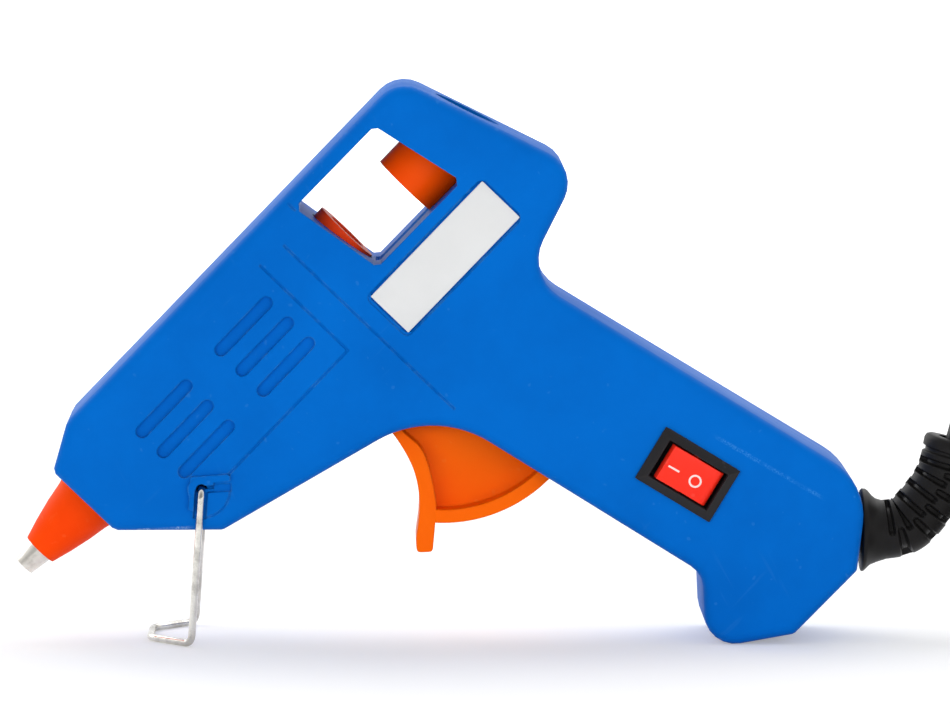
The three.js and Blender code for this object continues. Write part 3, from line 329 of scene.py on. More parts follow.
def strand(name, line, sides, section):
    """A solid strand along a line, its section laid on each point's side direction."""
    points = []
    for at, point in enumerate(line):
        along = heading(line, at)
        wide = (sides[at] - along * sides[at].dot(along)).normalized()
        thin = along.cross(wide)
        points += [point + (wide * a + thin * b) * MM for a, b in section]
    ring = len(section)
    faces = []
    for at in range(len(line) - 1):
        faces += band(ring, at * ring, (at + 1) * ring)
    faces.append(list(range(ring))[::-1])
    faces.append([(len(line) - 1) * ring + side for side in range(ring)])
    piece = new_piece(name, points, faces)
    outwards(piece)
    return piece


def carried_sides(line, first):
    """Side directions that turn least from point to point."""
    side = first.copy()
    sides = []
    for at in range(len(line)):
        along = heading(line, at)
        side = (side - along * side.dot(along)).normalized()
        sides.append(side.copy())
    return sides


def round_section(radius, count):
    turns = [2 * HALF_TURN * at / count for at in range(count)]
    return [(radius * math.cos(t), radius * math.sin(t)) for t in turns]


# Mains cord

CORD_WIDE = 5.2
CORD_THICK = 3.0
RELIEF_LINE = [(-3.8, 0), (0.6, 0), (4.2, 0), (8.5, 0.9), (12.1, 4.5), (15.2, 9.2), (16.6, 13.8),
               (17.3, 16.2)]
CORD_INNER_END = -18.5
MOUTH_GAP = 0.3
CORD_ROUTE = [(20.4, 0, 42.7), (26.6, 0.2, 49.2), (35.4, 1, 52.4), (45, 2.6, 51.8),
              (53.6, 5, 47.2), (60.4, 8, 39.8), (66, 11.2, 31.6), (72.4, 14.4, 23.8),
              (80.4, 17, 16.8), (89.6, 18.4, 11.6)]
HANK_MIDDLE = 78.6
HANK_RUN = 62
HANK_WAIST_RUN = 52
HANK_DRAWN = 5
HANK_STEP = 3.9
HANK_INNER = 9.6
HANK_DIP = 1
HANK_TURNS = 5
HANK_QUARTER_STEPS = 16
HANK_LOWEST = 3.5
HANK_RISE = 5.7
HANK_TURN_BACK = 2.375
HANK_START = 4
HANK_LOWERING = (2.28, 2.47)
HANK_DIP_REACH = 0.125
CORD_TURNING = (0.3, 0.96)
VALLEY = 0.72
LOBE_DEGREES = (-112, -90, -65, -40, -14, 14, 40, 65, 90, 112)
INSIDE_STEPS = 48
LEAD_STEPS = 120
TAIL_STEPS = 44
TAIL_ROUTE = [(5, 20, 3.5), (10, 19.4, 3.5), (20, 15.8, 3.9), (31, 8.4, 5.6), (41, 3.3, 6.6),
              (50, 2, 6.85)]


def smoothstep(x, low, high):
    t = min(1.0, max(0.0, (x - low) / (high - low)))
    return t * t * (3 - 2 * t)


def from_exit(out, across, z):
    return Vector((EXIT_PLACE.x + out * MM, across * MM, z * MM))


def relief_places():
    return [EXIT_PLACE + Vector((out, 0, up)) * MM for out, up in RELIEF_LINE]


def hank_place(turns):
    radius = HANK_INNER + HANK_STEP * abs(turns - HANK_TURN_BACK)
    phase = turns % 1
    quarter = int(phase * 4)
    within = phase * 4 - quarter
    half = HANK_RUN / 2
    height = HANK_LOWEST + HANK_RISE * (1 - smoothstep(turns, *HANK_LOWERING))
    if quarter % 2 == 0:
        turn = HALF_TURN / 2 - (within + quarter / 2) * HALF_TURN
        end = half if quarter == 0 else -half
        return from_exit(HANK_MIDDLE + end + radius * math.cos(turn), radius * math.sin(turn),
                         height)
    way = -1 if quarter == 1 else 1
    along = way * (within * HANK_RUN - half)
    share = min(1.0, abs(along) / (HANK_WAIST_RUN / 2))
    drawn = HANK_DRAWN * (1 + math.cos(share * HALF_TURN)) / 2
    near = min(1.0, abs(turns - HANK_TURN_BACK) / HANK_DIP_REACH)
    dip = HANK_DIP * (1 + math.cos(near * HALF_TURN)) / 2
    return from_exit(HANK_MIDDLE + along, way * (radius - drawn - dip), height)


def cord_line():
    """The cord's middle line, and the way its flat side faces at each point."""
    relief = relief_places()
    inner = [EXIT_PLACE + Vector((CORD_INNER_END, 0, 0)) * MM,
             EXIT_PLACE + Vector((CORD_INNER_END / 2, 0, 0)) * MM, *relief]
    inside = catmull(inner, INSIDE_STEPS)
    out = (relief[-1] - relief[-2]).normalized()
    first = hank_place(0)
    back = Vector((-1, 0, 0))
    lead = catmull([relief[-1] + out * MOUTH_GAP * MM, relief[-1] + out * CORD_WIDE * MM,
                    *[from_exit(*p) for p in CORD_ROUTE],
                    first + back * (HANK_START + MOUTH_GAP + CORD_WIDE) * MM,
                    first + back * (HANK_START + MOUTH_GAP) * MM], LEAD_STEPS)
    wound = [first + back * HANK_START * MM / 2]
    for at in range(HANK_TURNS * 4 * HANK_QUARTER_STEPS + 1):
        wound.append(hank_place(at / (4 * HANK_QUARTER_STEPS)))
    last = wound[-1]
    tail = [Vector((last.x + x * MM, y * MM, z * MM)) for x, y, z in TAIL_ROUTE]
    tail = catmull([last, *tail], TAIL_STEPS)
    sides = [ACROSS.copy() for _ in inside]
    for at in range(len(lead)):
        along = heading(lead, at)
        level = (ACROSS - along * along.dot(ACROSS)).normalized()
        upright = along.cross(level)
        turn = smoothstep(at / (len(lead) - 1), *CORD_TURNING) * HALF_TURN / 2
        sides.append(level * math.cos(turn) + upright * math.sin(turn))
    sides += [UP.copy() if sides[-1].z > 0 else -UP for _ in range(len(wound) + len(tail) - 1)]
    return inside + lead + wound + tail[1:], sides


def twin_section():
    """Two round jackets joined side by side, with a shallow valley between them."""
    lobe = CORD_THICK / 2
    apart = CORD_WIDE / 2 - lobe
    right = [(apart + lobe * math.cos(t), lobe * math.sin(t))
             for t in [math.radians(d) for d in LOBE_DEGREES]]
    left = [(-x, -y) for x, y in right]
    return right + [(0.0, lobe * VALLEY)] + left + [(0.0, -lobe * VALLEY)]


def make_cord():
    line, sides = cord_line()
    piece = strand("mains_cord", line, sides, twin_section())
    smooth(piece, 60)
    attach(piece, "housing")
    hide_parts("cord_inner", "cord_lead", "cord_hank")
    return piece, line


mains_cord, mains_cord_line = make_cord()


# Materials

def sheet_of(name):
    """A new material, its node tree and its shader."""
    material = bpy.data.materials.new(name)
    material.use_nodes = True
    tree = material.node_tree
    return material, tree, tree.nodes["Principled BSDF"]


def linear(code):
    """A written colour as the shader takes it."""
    parts = [int(code[at:at + 2], 16) / 255 for at in (1, 3, 5)]
    return (*[p / 12.92 if p <= 0.04045 else ((p + 0.055) / 1.055) ** 2.4 for p in parts], 1.0)


PLACE = (0, 0, 0)


def group_with(name, inputs, outputs):
    """A node group; its inputs have first values, and three numbers make a place."""
    group = bpy.data.node_groups.new(name, "ShaderNodeTree")
    for label, value in inputs.items():
        kind = "NodeSocketVector" if value == PLACE else "NodeSocketFloat"
        socket = group.interface.new_socket(label, in_out="INPUT", socket_type=kind)
        socket.default_value = value
    for label in outputs:
        kind = "NodeSocketVector" if label == "Normal" else "NodeSocketFloat"
        group.interface.new_socket(label, in_out="OUTPUT", socket_type=kind)
    return group, group.nodes.new("NodeGroupInput"), group.nodes.new("NodeGroupOutput")


def node(tree, kind, **settings):
    made = tree.nodes.new(kind)
    for key, value in settings.items():
        setattr(made, key, value)
    return made


def feed(tree, socket, value):
    """Gives a socket a plain value, or the output of another node."""
    if isinstance(value, (int, float, tuple)):
        socket.default_value = value
    else:
        tree.links.new(value, socket)


def math_node(tree, operation, first, second=None, clamp=False):
    made = node(tree, "ShaderNodeMath", operation=operation, use_clamp=clamp)
    feed(tree, made.inputs[0], first)
    if second is not None:
        feed(tree, made.inputs[1], second)
    return made.outputs[0]


def times(tree, first, second, clamp=False):
    return math_node(tree, "MULTIPLY", first, second, clamp)


def noise(tree, place, scale, detail, rough):
    made = node(tree, "ShaderNodeTexNoise", noise_type="FBM")
    made.inputs["Detail"].default_value = detail
    made.inputs["Roughness"].default_value = rough
    feed(tree, made.inputs["Vector"], place)
    feed(tree, made.inputs["Scale"], scale)
    return made.outputs["Fac"]


def ranged(tree, value, low, high, to_low=0.0, to_high=1.0):
    made = node(tree, "ShaderNodeMapRange", interpolation_type="SMOOTHSTEP")
    for socket, setting in zip(made.inputs, (value, low, high, to_low, to_high)):
        feed(tree, socket, setting)
    return made.outputs[0]


def turned_place(tree, place, degrees, scale):
    """The place turned about the line across the gun, and then stretched."""
    for setting, value in (("Rotation", (0, math.radians(degrees), 0)), ("Scale", scale)):
        made = node(tree, "ShaderNodeMapping")
        made.inputs[setting].default_value = value
        feed(tree, made.inputs["Vector"], place)
        place = made.outputs["Vector"]
    return place


def build_mould_skin():
    """The fine spark finish of a moulded face, with slow waves under it."""
    group, start, end = group_with(
        "mould_skin", {"Place": PLACE, "Grain Scale": 2400.0, "Wave": 0.5},
        ["Height", "Blotch"])
    place = start.outputs["Place"]
    grain = noise(group, place, start.outputs["Grain Scale"], 2.0, 0.6)
    wave = noise(group, place, 70.0, 2.0, 0.5)
    waves = times(group, wave, start.outputs["Wave"])
    feed(group, end.inputs["Height"], math_node(group, "ADD", grain, waves))
    feed(group, end.inputs["Blotch"], noise(group, place, 38.0, 5.0, 0.6))
    return group


def build_edge_wear():
    """Rubbed edges: a mask where the rounded normal leaves the face's own, broken up by noise."""
    group, start, end = group_with(
        "edge_wear", {"Place": PLACE, "Amount": 0.5, "Reach": 0.0004}, ["Edge", "Normal"])
    soft = node(group, "ShaderNodeBevel", samples=6)
    feed(group, soft.inputs["Radius"], start.outputs["Reach"])
    true = node(group, "ShaderNodeNewGeometry")
    dot = node(group, "ShaderNodeVectorMath", operation="DOT_PRODUCT")
    feed(group, dot.inputs[0], soft.outputs["Normal"])
    feed(group, dot.inputs[1], true.outputs["Normal"])
    away = math_node(group, "SUBTRACT", 1.0, dot.outputs["Value"])
    broken = noise(group, start.outputs["Place"], 420.0, 4.0, 0.65)
    edge = times(group, ranged(group, away, 0.02, 0.22), ranged(group, broken, 0.42, 0.66))
    feed(group, end.inputs["Edge"], times(group, edge, start.outputs["Amount"], clamp=True))
    feed(group, end.inputs["Normal"], soft.outputs["Normal"])
    return group


def build_handling_marks():
    """Fine scuffs in two directions and a few specks of dust."""
    group, start, end = group_with(
        "handling_marks", {"Place": PLACE, "Scuffs": 0.5, "Dust": 0.3}, ["Mark", "Speck"])
    place = start.outputs["Place"]
    marks = []
    for degrees, scale in ((28, (900, 900, 60)), (-46, (1100, 1100, 80))):
        run = turned_place(group, place, degrees, scale)
        line = noise(group, run, 1.0, 2.0, 0.5)
        field = noise(group, place, 26.0 + scale[2] / 8, 2.0, 0.5)
        marks.append(times(group, ranged(group, line, 0.66, 0.74),
                           ranged(group, field, 0.55, 0.68)))
    both = math_node(group, "MAXIMUM", *marks)
    feed(group, end.inputs["Mark"], times(group, both, start.outputs["Scuffs"], clamp=True))
    speck = ranged(group, noise(group, place, 620.0, 1.0, 0.4), 0.72, 0.78)
    feed(group, end.inputs["Speck"], times(group, speck, start.outputs["Dust"], clamp=True))
    return group


SIDE_FACE = (-0.011, -0.0125)


def build_long_streak():
    """A lighter streak along a line on the side face, broken into short dashes."""
    group, start, end = group_with(
        "long_scuff", {"Place": PLACE, "Middle": PLACE, "Turn": 0.0, "Half Long": 0.01,
                       "Half Wide": 0.0003}, ["Streak"])
    away = node(group, "ShaderNodeVectorMath", operation="SUBTRACT")
    feed(group, away.inputs[0], start.outputs["Place"])
    feed(group, away.inputs[1], start.outputs["Middle"])
    turned = node(group, "ShaderNodeVectorRotate", rotation_type="Y_AXIS")
    feed(group, turned.inputs["Vector"], away.outputs[0])
    feed(group, turned.inputs["Angle"], start.outputs["Turn"])
    parts = node(group, "ShaderNodeSeparateXYZ")
    feed(group, parts.inputs[0], turned.outputs[0])
    along, aside = [math_node(group, "DIVIDE", math_node(group, "ABSOLUTE", parts.outputs[way]),
                              start.outputs[half])
                    for way, half in (("X", "Half Long"), ("Z", "Half Wide"))]
    inside = times(group, ranged(group, along, 1.0, 0.7), ranged(group, aside, 1.0, 0.3))
    near = ranged(group, parts.outputs["Y"], *SIDE_FACE)
    place = start.outputs["Place"]
    dashes = ranged(group, noise(group, place, 4200.0, 4.0, 0.75), 0.44, 0.6)
    patches = ranged(group, noise(group, place, 420.0, 2.0, 0.5), 0.42, 0.56, 0.25, 1.0)
    both = times(group, times(group, inside, near), times(group, dashes, patches))
    feed(group, end.inputs["Streak"], both)
    return group


mould_skin = build_mould_skin()
long_scuff = build_long_streak()
edge_wear = build_edge_wear()
handling_marks = build_handling_marks()


def use(tree, group, place, **values):
    made = node(tree, "ShaderNodeGroup", node_tree=group)
    feed(tree, made.inputs["Place"], place)
    for key, value in values.items():
        made.inputs[key.replace("_", " ")].default_value = value
    return made.outputs


def blended(tree, first, second, share):
    """A colour mixed from two; each is a written colour or an output."""
    made = node(tree, "ShaderNodeMix", data_type="RGBA")
    for socket, value in ((made.inputs[6], first), (made.inputs[7], second)):
        feed(tree, socket, linear(value) if isinstance(value, str) else value)
    feed(tree, made.inputs[0], share)
    return made.outputs[2]


def object_place(tree):
    return node(tree, "ShaderNodeTexCoord").outputs["Object"]


def bumped(tree, shader, height, strength, distance, normal):
    bump = node(tree, "ShaderNodeBump")
    bump.inputs["Strength"].default_value = strength
    bump.inputs["Distance"].default_value = distance * MM
    feed(tree, bump.inputs["Height"], height)
    feed(tree, bump.inputs["Normal"], normal)
    feed(tree, shader.inputs["Normal"], bump.outputs["Normal"])


# Lighter streaks on the near side: a rubbed scratch near the nose, and a lighter dashed line
# parallel to the handle's back edge; each is middle, degrees turned, half length, half width,
# colour
STREAKS = [((-59.2, 20.7), 3.7, 6.2, 0.36, "#B4D4F2"),
           ((47.3, 31.4), -29.9, 12.0, 0.5, "#2E82D4")]
GRAIN_DEEP = 0.05
LINES_DEEP = 0.02


def moulded(name, body, deep, rubbed, rough, grain=2400.0, strength=0.22, wear=0.5, scuffs=0.5,
            dust=0.3, reach=0.0004, specular=0.5, streaks=()):
    """A moulded plastic or rubber: body colour with slow change, rubbed edges, scuffs and grain."""
    material, tree, shader = sheet_of(name)
    place = object_place(tree)
    skin = use(tree, mould_skin, place, Grain_Scale=grain)
    wear_out = use(tree, edge_wear, place, Amount=wear, Reach=reach)
    marks = use(tree, handling_marks, place, Scuffs=scuffs, Dust=dust)
    base = blended(tree, body, deep, ranged(tree, skin["Blotch"], 0.35, 0.7))
    base = blended(tree, base, rubbed, wear_out["Edge"])
    base = blended(tree, base, rubbed, math_node(tree, "MAXIMUM", marks["Mark"], marks["Speck"]))
    for (x, z), turn, half_long, half_wide, pale in streaks:
        streak = use(tree, long_scuff, place, Middle=(x * MM, 0, z * MM), Turn=math.radians(turn),
                     Half_Long=half_long * MM, Half_Wide=half_wide * MM)
        base = blended(tree, base, pale, streak["Streak"])
    feed(tree, shader.inputs["Base Color"], base)
    rougher = ranged(tree, skin["Blotch"], 0.3, 0.75, rough - 0.04, rough + 0.05)
    marked = times(tree, marks["Mark"], 0.25)
    feed(tree, shader.inputs["Roughness"], math_node(tree, "ADD", rougher, marked, clamp=True))
    shader.inputs["Specular IOR Level"].default_value = specular
    bumped(tree, shader, skin["Height"], strength, GRAIN_DEEP, wear_out["Normal"])
    return material


def metal(name, body, deep, rough, run=(300, 300, 40), strength=0.15):
    """A drawn or turned metal: fine lines along one way, with dull patches."""
    material, tree, shader = sheet_of(name)
    place = object_place(tree)
    lines = noise(tree, turned_place(tree, place, 0.0, run), 8.0, 4.0, 0.6)
    patch = noise(tree, place, 240.0, 4.0, 0.6)
    wear_out = use(tree, edge_wear, place, Amount=0.6, Reach=0.0002)
    base = blended(tree, body, deep, ranged(tree, patch, 0.4, 0.68))
    base = blended(tree, base, body, wear_out["Edge"])
    feed(tree, shader.inputs["Base Color"], base)
    mixed = times(tree, math_node(tree, "ADD", lines, patch), 0.5)
    tree.links.new(ranged(tree, mixed, 0.3, 0.7, rough - 0.08, rough + 0.12),
                   shader.inputs["Roughness"])
    shader.inputs["Metallic"].default_value = 1.0
    bumped(tree, shader, lines, strength, LINES_DEEP, wear_out["Normal"])
    return material


MOULDED = {
    "housing_plastic": ("#006ACA", "#0063C0", "#4C97DC", 0.42, dict(wear=0.5, scuffs=0.06,
        dust=0.14, specular=0.035, streaks=STREAKS)),
    "trigger_plastic": ("#FF6A00", "#FF6200", "#FFA050", 0.36, dict(wear=0.35, scuffs=0.08,
        dust=0.1, specular=0.08)),
    "carrier_plastic": ("#FF5600", "#FF4E00", "#FF9A50", 0.36, dict(wear=0.35, scuffs=0.05,
        dust=0.1, specular=0.1)),
    "rocker_plastic": ("#FF301C", "#F82614", "#FF8A78", 0.22, dict(grain=3200.0, strength=0.06,
        wear=0.3, scuffs=0.05, dust=0.1, reach=0.0002, specular=0.2)),
    "mark_paint": ("#FFE4E0", "#F8D4CE", "#FFFFFF", 0.4, dict(grain=4200.0, strength=0.05,
        wear=0.0, scuffs=0.0, dust=0.0, reach=0.00008)),
    "black_plastic": ("#252426", "#1D1C1E", "#55585C", 0.34, dict(grain=2600.0, strength=0.12,
        wear=0.4, scuffs=0.1, dust=0.15, reach=0.0002, specular=0.2)),
    "relief_rubber": ("#1D1C1C", "#161515", "#3C3835", 0.42, dict(grain=1500.0, strength=0.2,
        wear=0.5, scuffs=0.05, dust=0.1, reach=0.0002, specular=0.12)),
    "label_film": ("#E1E2E2", "#DBDCDC", "#ECEDED", 0.45, dict(grain=4200.0, strength=0.05,
        wear=0.2, scuffs=0.15, dust=0.1, reach=0.00008)),
    "cover_silicone": ("#FF4C00", "#FA4200", "#FF8A50", 0.5, dict(grain=1800.0, strength=0.2,
        wear=0.25, scuffs=0.05, dust=0.1, specular=0.08)),
    "sleeve_silicone": ("#FF4C18", "#FF420E", "#FFA080", 0.42, dict(grain=1800.0, strength=0.14,
        wear=0.5, scuffs=0.05, dust=0.1, reach=0.0003, specular=0.15)),
    "cord_pvc": ("#1B1A1A", "#141313", "#3C3A38", 0.4, dict(grain=1400.0, strength=0.1, wear=0.0,
        scuffs=0.1, specular=0.3)),
    "wire_jacket": ("#2B3A6B", "#233060", "#5E6C9C", 0.45, dict(wear=0.0)),
    "insulating_film": ("#C88A2C", "#B87A20", "#E0AC60", 0.3, dict(strength=0.05)),
    "ceramic": ("#B9AB94", "#A99A82", "#D8CDB8", 0.7, dict(grain=1200.0, strength=0.3)),
}
METALS = {
    "nozzle_metal": ("#E2DED6", "#A8A29A", 0.34, dict(run=(60, 60, 60), strength=0.25)),
    "chamber_aluminium": ("#BDBEC0", "#8E9092", 0.42, dict()),
    "sheet_metal": ("#B4B7BB", "#8C8F93", 0.34, dict()),
    "pin_steel": ("#BEC1C5", "#94979B", 0.26, dict(run=(300, 40, 300))),
    "spring_steel": ("#A9ACB0", "#7F8286", 0.28, dict()),
    "stand_wire": ("#DEDCD6", "#B9B6B0", 0.17, dict(run=(500, 500, 30), strength=0.05)),
    "plug_metal": ("#D0D2D5", "#A5A8AB", 0.22, dict(run=(30, 400, 400), strength=0.08)),
}
looks = {name: moulded(name, *plain, **rest) for name, (*plain, rest) in MOULDED.items()}
looks.update({name: metal(name, *plain, **rest) for name, (*plain, rest) in METALS.items()})


def finish_as(piece, look):
    piece.data.materials.clear()
    piece.data.materials.append(looks[look])
    for face in piece.data.polygons:
        face.material_index = 0


finish_as(mains_cord, "cord_pvc")


def put_on(piece, body, look, *nodes, slot=None):
    """Gives a piece its finish, its body and the CAD nodes it stands for."""
    finish_as(piece, look)
    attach(piece, body)
    if nodes:
        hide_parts(*nodes)
    return piece


# Housing

PANEL_LINE = [(51.4, 7.4), (51.3, -13.8), (21.3, -13.9)]
GROOVE = 0.36
GROOVE_DEEP = 0.22
WINDOW_STEP = [(62.6, 14.6), (62.6, 9.9)]
CREASE = [(56.8, 6.8), (56.8, -34.2)]
SEAM_FACE = 0.15
SEAM_FOUND = 0.004
SEAM_CLOSED = 0.02
LABEL_PLACE = (74.85, -14.7)
LABEL_HALF = (14.0, 4.55)
LABEL_MARGIN = 0.55
LABEL_MARGIN_SHIFT = -0.3
LABEL_MARGIN_DEEP = 0.35
LABEL_MARGIN_RADIUS = 1.2
LABEL_RADIUS = 0.15
LABEL_DEPTHS = (-12.75, -12.25)
HUB = (16, -12.3)
HUB_FILL = (1.0, 2.4, -28, 208)
HUB_FILL_DEPTHS = (-13.95, -11.8)
HUB_QUARTER = (0, 5, -137, -45)
HUB_QUARTER_BACK = -12.4
HUB_RAISED = 0.06
HUB_LINE = (4.85, 5.15, -134, -48)
HUB_LINE_DEEP = 0.16
LEG_GROOVES = ((-140, 1.15, 0.45), (-42, 0.7, 0.5))
LEG_GROOVE_END = 5.2


def plate_outline(middle, half, radius):
    (x, y), (wide, tall) = middle, half
    return rounded([(x + wide, y + tall, radius), (x - wide, y + tall, radius),
                    (x - wide, y - tall, radius), (x + wide, y - tall, radius)])


def groove_along(piece, corners, side):
    """A fine moulded line along the corners, cut into the outer face."""
    for start, end in zip(corners, corners[1:]):
        a, b = Vector(start), Vector(end)
        run = (b - a).normalized()
        over = Vector((-run.y, run.x)) * GROOVE / 2
        reach = run * GROOVE / 2
        outline = [a - reach + over, b + reach + over, b + reach - over, a - reach - over]
        inner = side * (HALF_WIDTH - GROOVE_DEEP)
        outer = side * (HALF_WIDTH + CUT_OVER)
        cut_by(piece, prism("groove", [tuple(p) for p in outline], inner, outer))


def dress_near_half(piece):
    """The label's shallow outer recess and the seat of the wire stand."""
    face = -HALF_WIDTH
    middle = (LABEL_PLACE[0] + LABEL_MARGIN_SHIFT, LABEL_PLACE[1])
    half = tuple(size + LABEL_MARGIN for size in LABEL_HALF)
    cut_by(piece, prism("recess", plate_outline(middle, half, LABEL_MARGIN_RADIUS),
                        face - CUT_OVER, face + LABEL_MARGIN_DEEP))
    joined_with(piece, prism("hub_fill", sector(HUB, *HUB_FILL), *HUB_FILL_DEPTHS))
    joined_with(piece, prism("hub_raised", sector(HUB, *HUB_QUARTER), face - HUB_RAISED,
                             HUB_QUARTER_BACK))
    cut_by(piece, prism("hub_line", sector(HUB, *HUB_LINE), face - CUT_OVER,
                        face + HUB_LINE_DEEP))
    for degrees, half_width, deep in LEG_GROOVES:
        run = strip_outline(HUB, degrees, half_width, 0, LEG_GROOVE_END)
        cut_by(piece, prism("leg_groove", run, face - CUT_OVER, face + deep))


def make_half(node_name, side):
    piece = merged_copy(node_name, node_name.replace("shell", "housing_half"))
    for vertex in piece.data.vertices:
        if abs(abs(vertex.co.y) - SEAM_FACE * MM) < SEAM_FOUND * MM:
            vertex.co.y = side * SEAM_CLOSED * MM
    for line in (CREASE, WINDOW_STEP, PANEL_LINE):
        groove_along(piece, line, side)
    if side < 0:
        dress_near_half(piece)
    smooth(piece, 30)
    put_on(piece, "housing", "housing_plastic", node_name)


make_half("left_shell", -1)
make_half("right_shell", 1)


# Label

def make_label():
    outline = plate_outline(LABEL_PLACE, LABEL_HALF, LABEL_RADIUS)
    piece = prism("bare_label", outline, *LABEL_DEPTHS)
    bevelled(piece, 0.04, 2, 50)
    smooth(piece)
    put_on(piece, "housing", "label_film", "label")


make_label()


# Nozzle

def turned_copy(node, name, body, look, slot=None):
    """A round CAD piece with its facets smoothed."""
    piece = merged_copy(node, name)
    smooth(piece, 30)
    return put_on(piece, body, look, node, slot=slot)


turned_copy("nozzle_cover", "nozzle_cone", "housing", "cover_silicone")
turned_copy("nozzle_tip", "nozzle_point", "housing", "nozzle_metal")


# Trigger, carrier, sleeve

PIVOT = (59.3, -29.3)
PIVOT_ROOM = 1.6
PIVOT_BOSS = 3.4
TRIGGER_HALF = 6.5
WEB_HALF = 1.2
FACE_ARC = (13.6, 158, 184)
PAD_THICK = 1.7
RIM_ARC = (26.2, 23.9, 221, 269.5)
PAD_EDGE = [(44.9, -34), (43.6, -37.5), (41.2, -41), (38.2, -43.8), (35.2, -45.9),
            (34.2, -46.9), (33.75, -47.5), (33.7, -47.9), (33.95, -48.25), (35.0, -49.25),
            (35.35, -49.5), (35.8, -49.45), (36.5, -48.9), (39.6, -46.4), (41.3, -45),
            (42.4, -43.8), (45.4, -39.6), (47.5, -35.6), (47.1, -31.4)]
WEB_EDGE = [(46.4, -31.4), (46.5, -35.2), (44.6, -39.2), (41.7, -43.2)]
ARM_LEAN = math.radians(12)
ARM_HALF = 3
ARM_END = 18.2
ARM_SIDES = (1.4, 3.4)
ARM_SLOT = (13.8, 16.4, 1.1)
WEB_CORNER = 1.5


def corners_cut(outline, rounds):
    """A closed outline with its corners cut again and again, until it runs smoothly."""
    for _ in range(rounds):
        finer = []
        for a, b in zip(outline, outline[1:] + outline[:1]):
            finer.append((a[0] * 0.75 + b[0] * 0.25, a[1] * 0.75 + b[1] * 0.25))
            finer.append((a[0] * 0.25 + b[0] * 0.75, a[1] * 0.25 + b[1] * 0.75))
        outline = finer
    return outline


def on_arm(reach, aside):
    """A place along the trigger's arms, from the pivot."""
    return (PIVOT[0] + math.sin(ARM_LEAN) * reach + math.cos(ARM_LEAN) * aside,
            PIVOT[1] + math.cos(ARM_LEAN) * reach - math.sin(ARM_LEAN) * aside)


def bar_outline(start, end, half):
    return [on_arm(start, -half), on_arm(start, half), on_arm(end, half), on_arm(end, -half)]


def make_trigger():
    """The lever built again with smooth curves: pad, rim, web, boss and two slotted arms."""
    radius, start, end = FACE_ARC
    face = arc(PIVOT, radius, start, end, 8)
    back = arc(PIVOT, radius - PAD_THICK, start, end, 8)
    pad = corners_cut(face + PAD_EDGE + back[:-1][::-1], 3)
    lever = prism("trigger_lever", pad, -TRIGGER_HALF, TRIGGER_HALF)
    outer, inner, first, last = RIM_ARC
    rim = arc(PIVOT, outer, first, last, 40) + arc(PIVOT, inner, first, last, 40)[::-1]
    joined_with(lever, prism("rim", rim, -TRIGGER_HALF, TRIGGER_HALF))
    web = [(PIVOT[0], PIVOT[1] + WEB_CORNER),
           *arc(PIVOT, radius - PAD_THICK / 2, start, end, 8), *WEB_EDGE,
           *arc(PIVOT, (outer + inner) / 2, first, last, 30), (PIVOT[0] + WEB_CORNER, PIVOT[1])]
    joined_with(lever, prism("web", web, -WEB_HALF, WEB_HALF))
    joined_with(lever, prism("boss", circle(PIVOT, PIVOT_BOSS), -TRIGGER_HALF, TRIGGER_HALF))
    low, high, half = ARM_SLOT
    for way in (-1, 1):
        near, far = sorted(way * side for side in ARM_SIDES)
        bar = prism("arm", bar_outline(0, ARM_END, ARM_HALF), near, far)
        slot = bar_outline(low, high, half)
        cut_by(bar, prism("arm_slot", slot, near - CUT_OVER, far + CUT_OVER))
        joined_with(lever, bar)
    cut_by(lever, prism("pivot_bore", circle(PIVOT, PIVOT_ROOM), -HALF_WIDTH, HALF_WIDTH))
    bevelled(lever, 0.25, 3, 60)
    smooth(lever, 35)
    put_on(lever, "trigger", "trigger_plastic", "trigger")


make_trigger()
turned_copy("stick_carrier", "carrier_tube", "carrier", "carrier_plastic", "trigger_plastic")
turned_copy("inlet_sleeve", "stick_sleeve", "housing", "sleeve_silicone")


# Switch

SWITCH_PLACE = (76.8, -71.7)
SWITCH_TURN = math.radians(-77.2)
FRAME_LEVELS = [(-7.6, 7.6, 5.25, 13.02), (-7.6, 7.6, 5.25, 13.7), (-5.85, 6.05, 3.65, 14.4),
                (-5.8, 6.0, 3.6, 12.9)]
ROCKER_HALF = 5.2
ROCKER_LEAN = math.radians(9)
ROCKER_PIVOT_OUT = 11.5
ROCKER_MIDDLE_OUT = 14.3
ROCKER_END_RISE = 0.6
MARK_RAISED = 0.04
MARK_SUNK = -0.15
BAR_MARK = (-4.45, -2.15, -0.42, -0.08)
BAR_STEPS = 8
RING_MARK = (1.2, -0.28, 0.81, 1.15)
RING_STEPS = 40
END_ROUND = 1.6
END_SEGMENTS = 7
END_FOUND = 0.6
FLANGE_HALF = (9, 7)
FLANGE_DEPTHS = (-16, -13.35)


def switch_turned(along, over):
    cos, sin = math.cos(SWITCH_TURN), math.sin(SWITCH_TURN)
    return (SWITCH_PLACE[0] + along * cos - over * sin,
            SWITCH_PLACE[1] + along * sin + over * cos)


def on_switch(along, over, out):
    """A place on the switch: along the rocker, over to one side, out of the housing."""
    return standing(*switch_turned(along, over), -out)


def on_rocker(along, over, raised):
    """A place on the rocker's dished face, with the rocker leaned as it rests."""
    out = ROCKER_MIDDLE_OUT + ROCKER_END_RISE * abs(along) / ROCKER_HALF + raised - ROCKER_PIVOT_OUT
    cos, sin = math.cos(ROCKER_LEAN), math.sin(ROCKER_LEAN)
    return on_switch(along * cos + out * sin, over, ROCKER_PIVOT_OUT - along * sin + out * cos)


def switch_frame_ring():
    rings = []
    for low, high, wide, out in FRAME_LEVELS:
        corners = ((high, wide), (low, wide), (low, -wide), (high, -wide))
        rings.append([on_switch(x, y, out) for x, y in corners])
    ring = looped("switch_rim", rings)
    bevelled(ring, 0.12, 3, 20)
    smooth(ring)
    put_on(ring, "housing", "black_plastic")


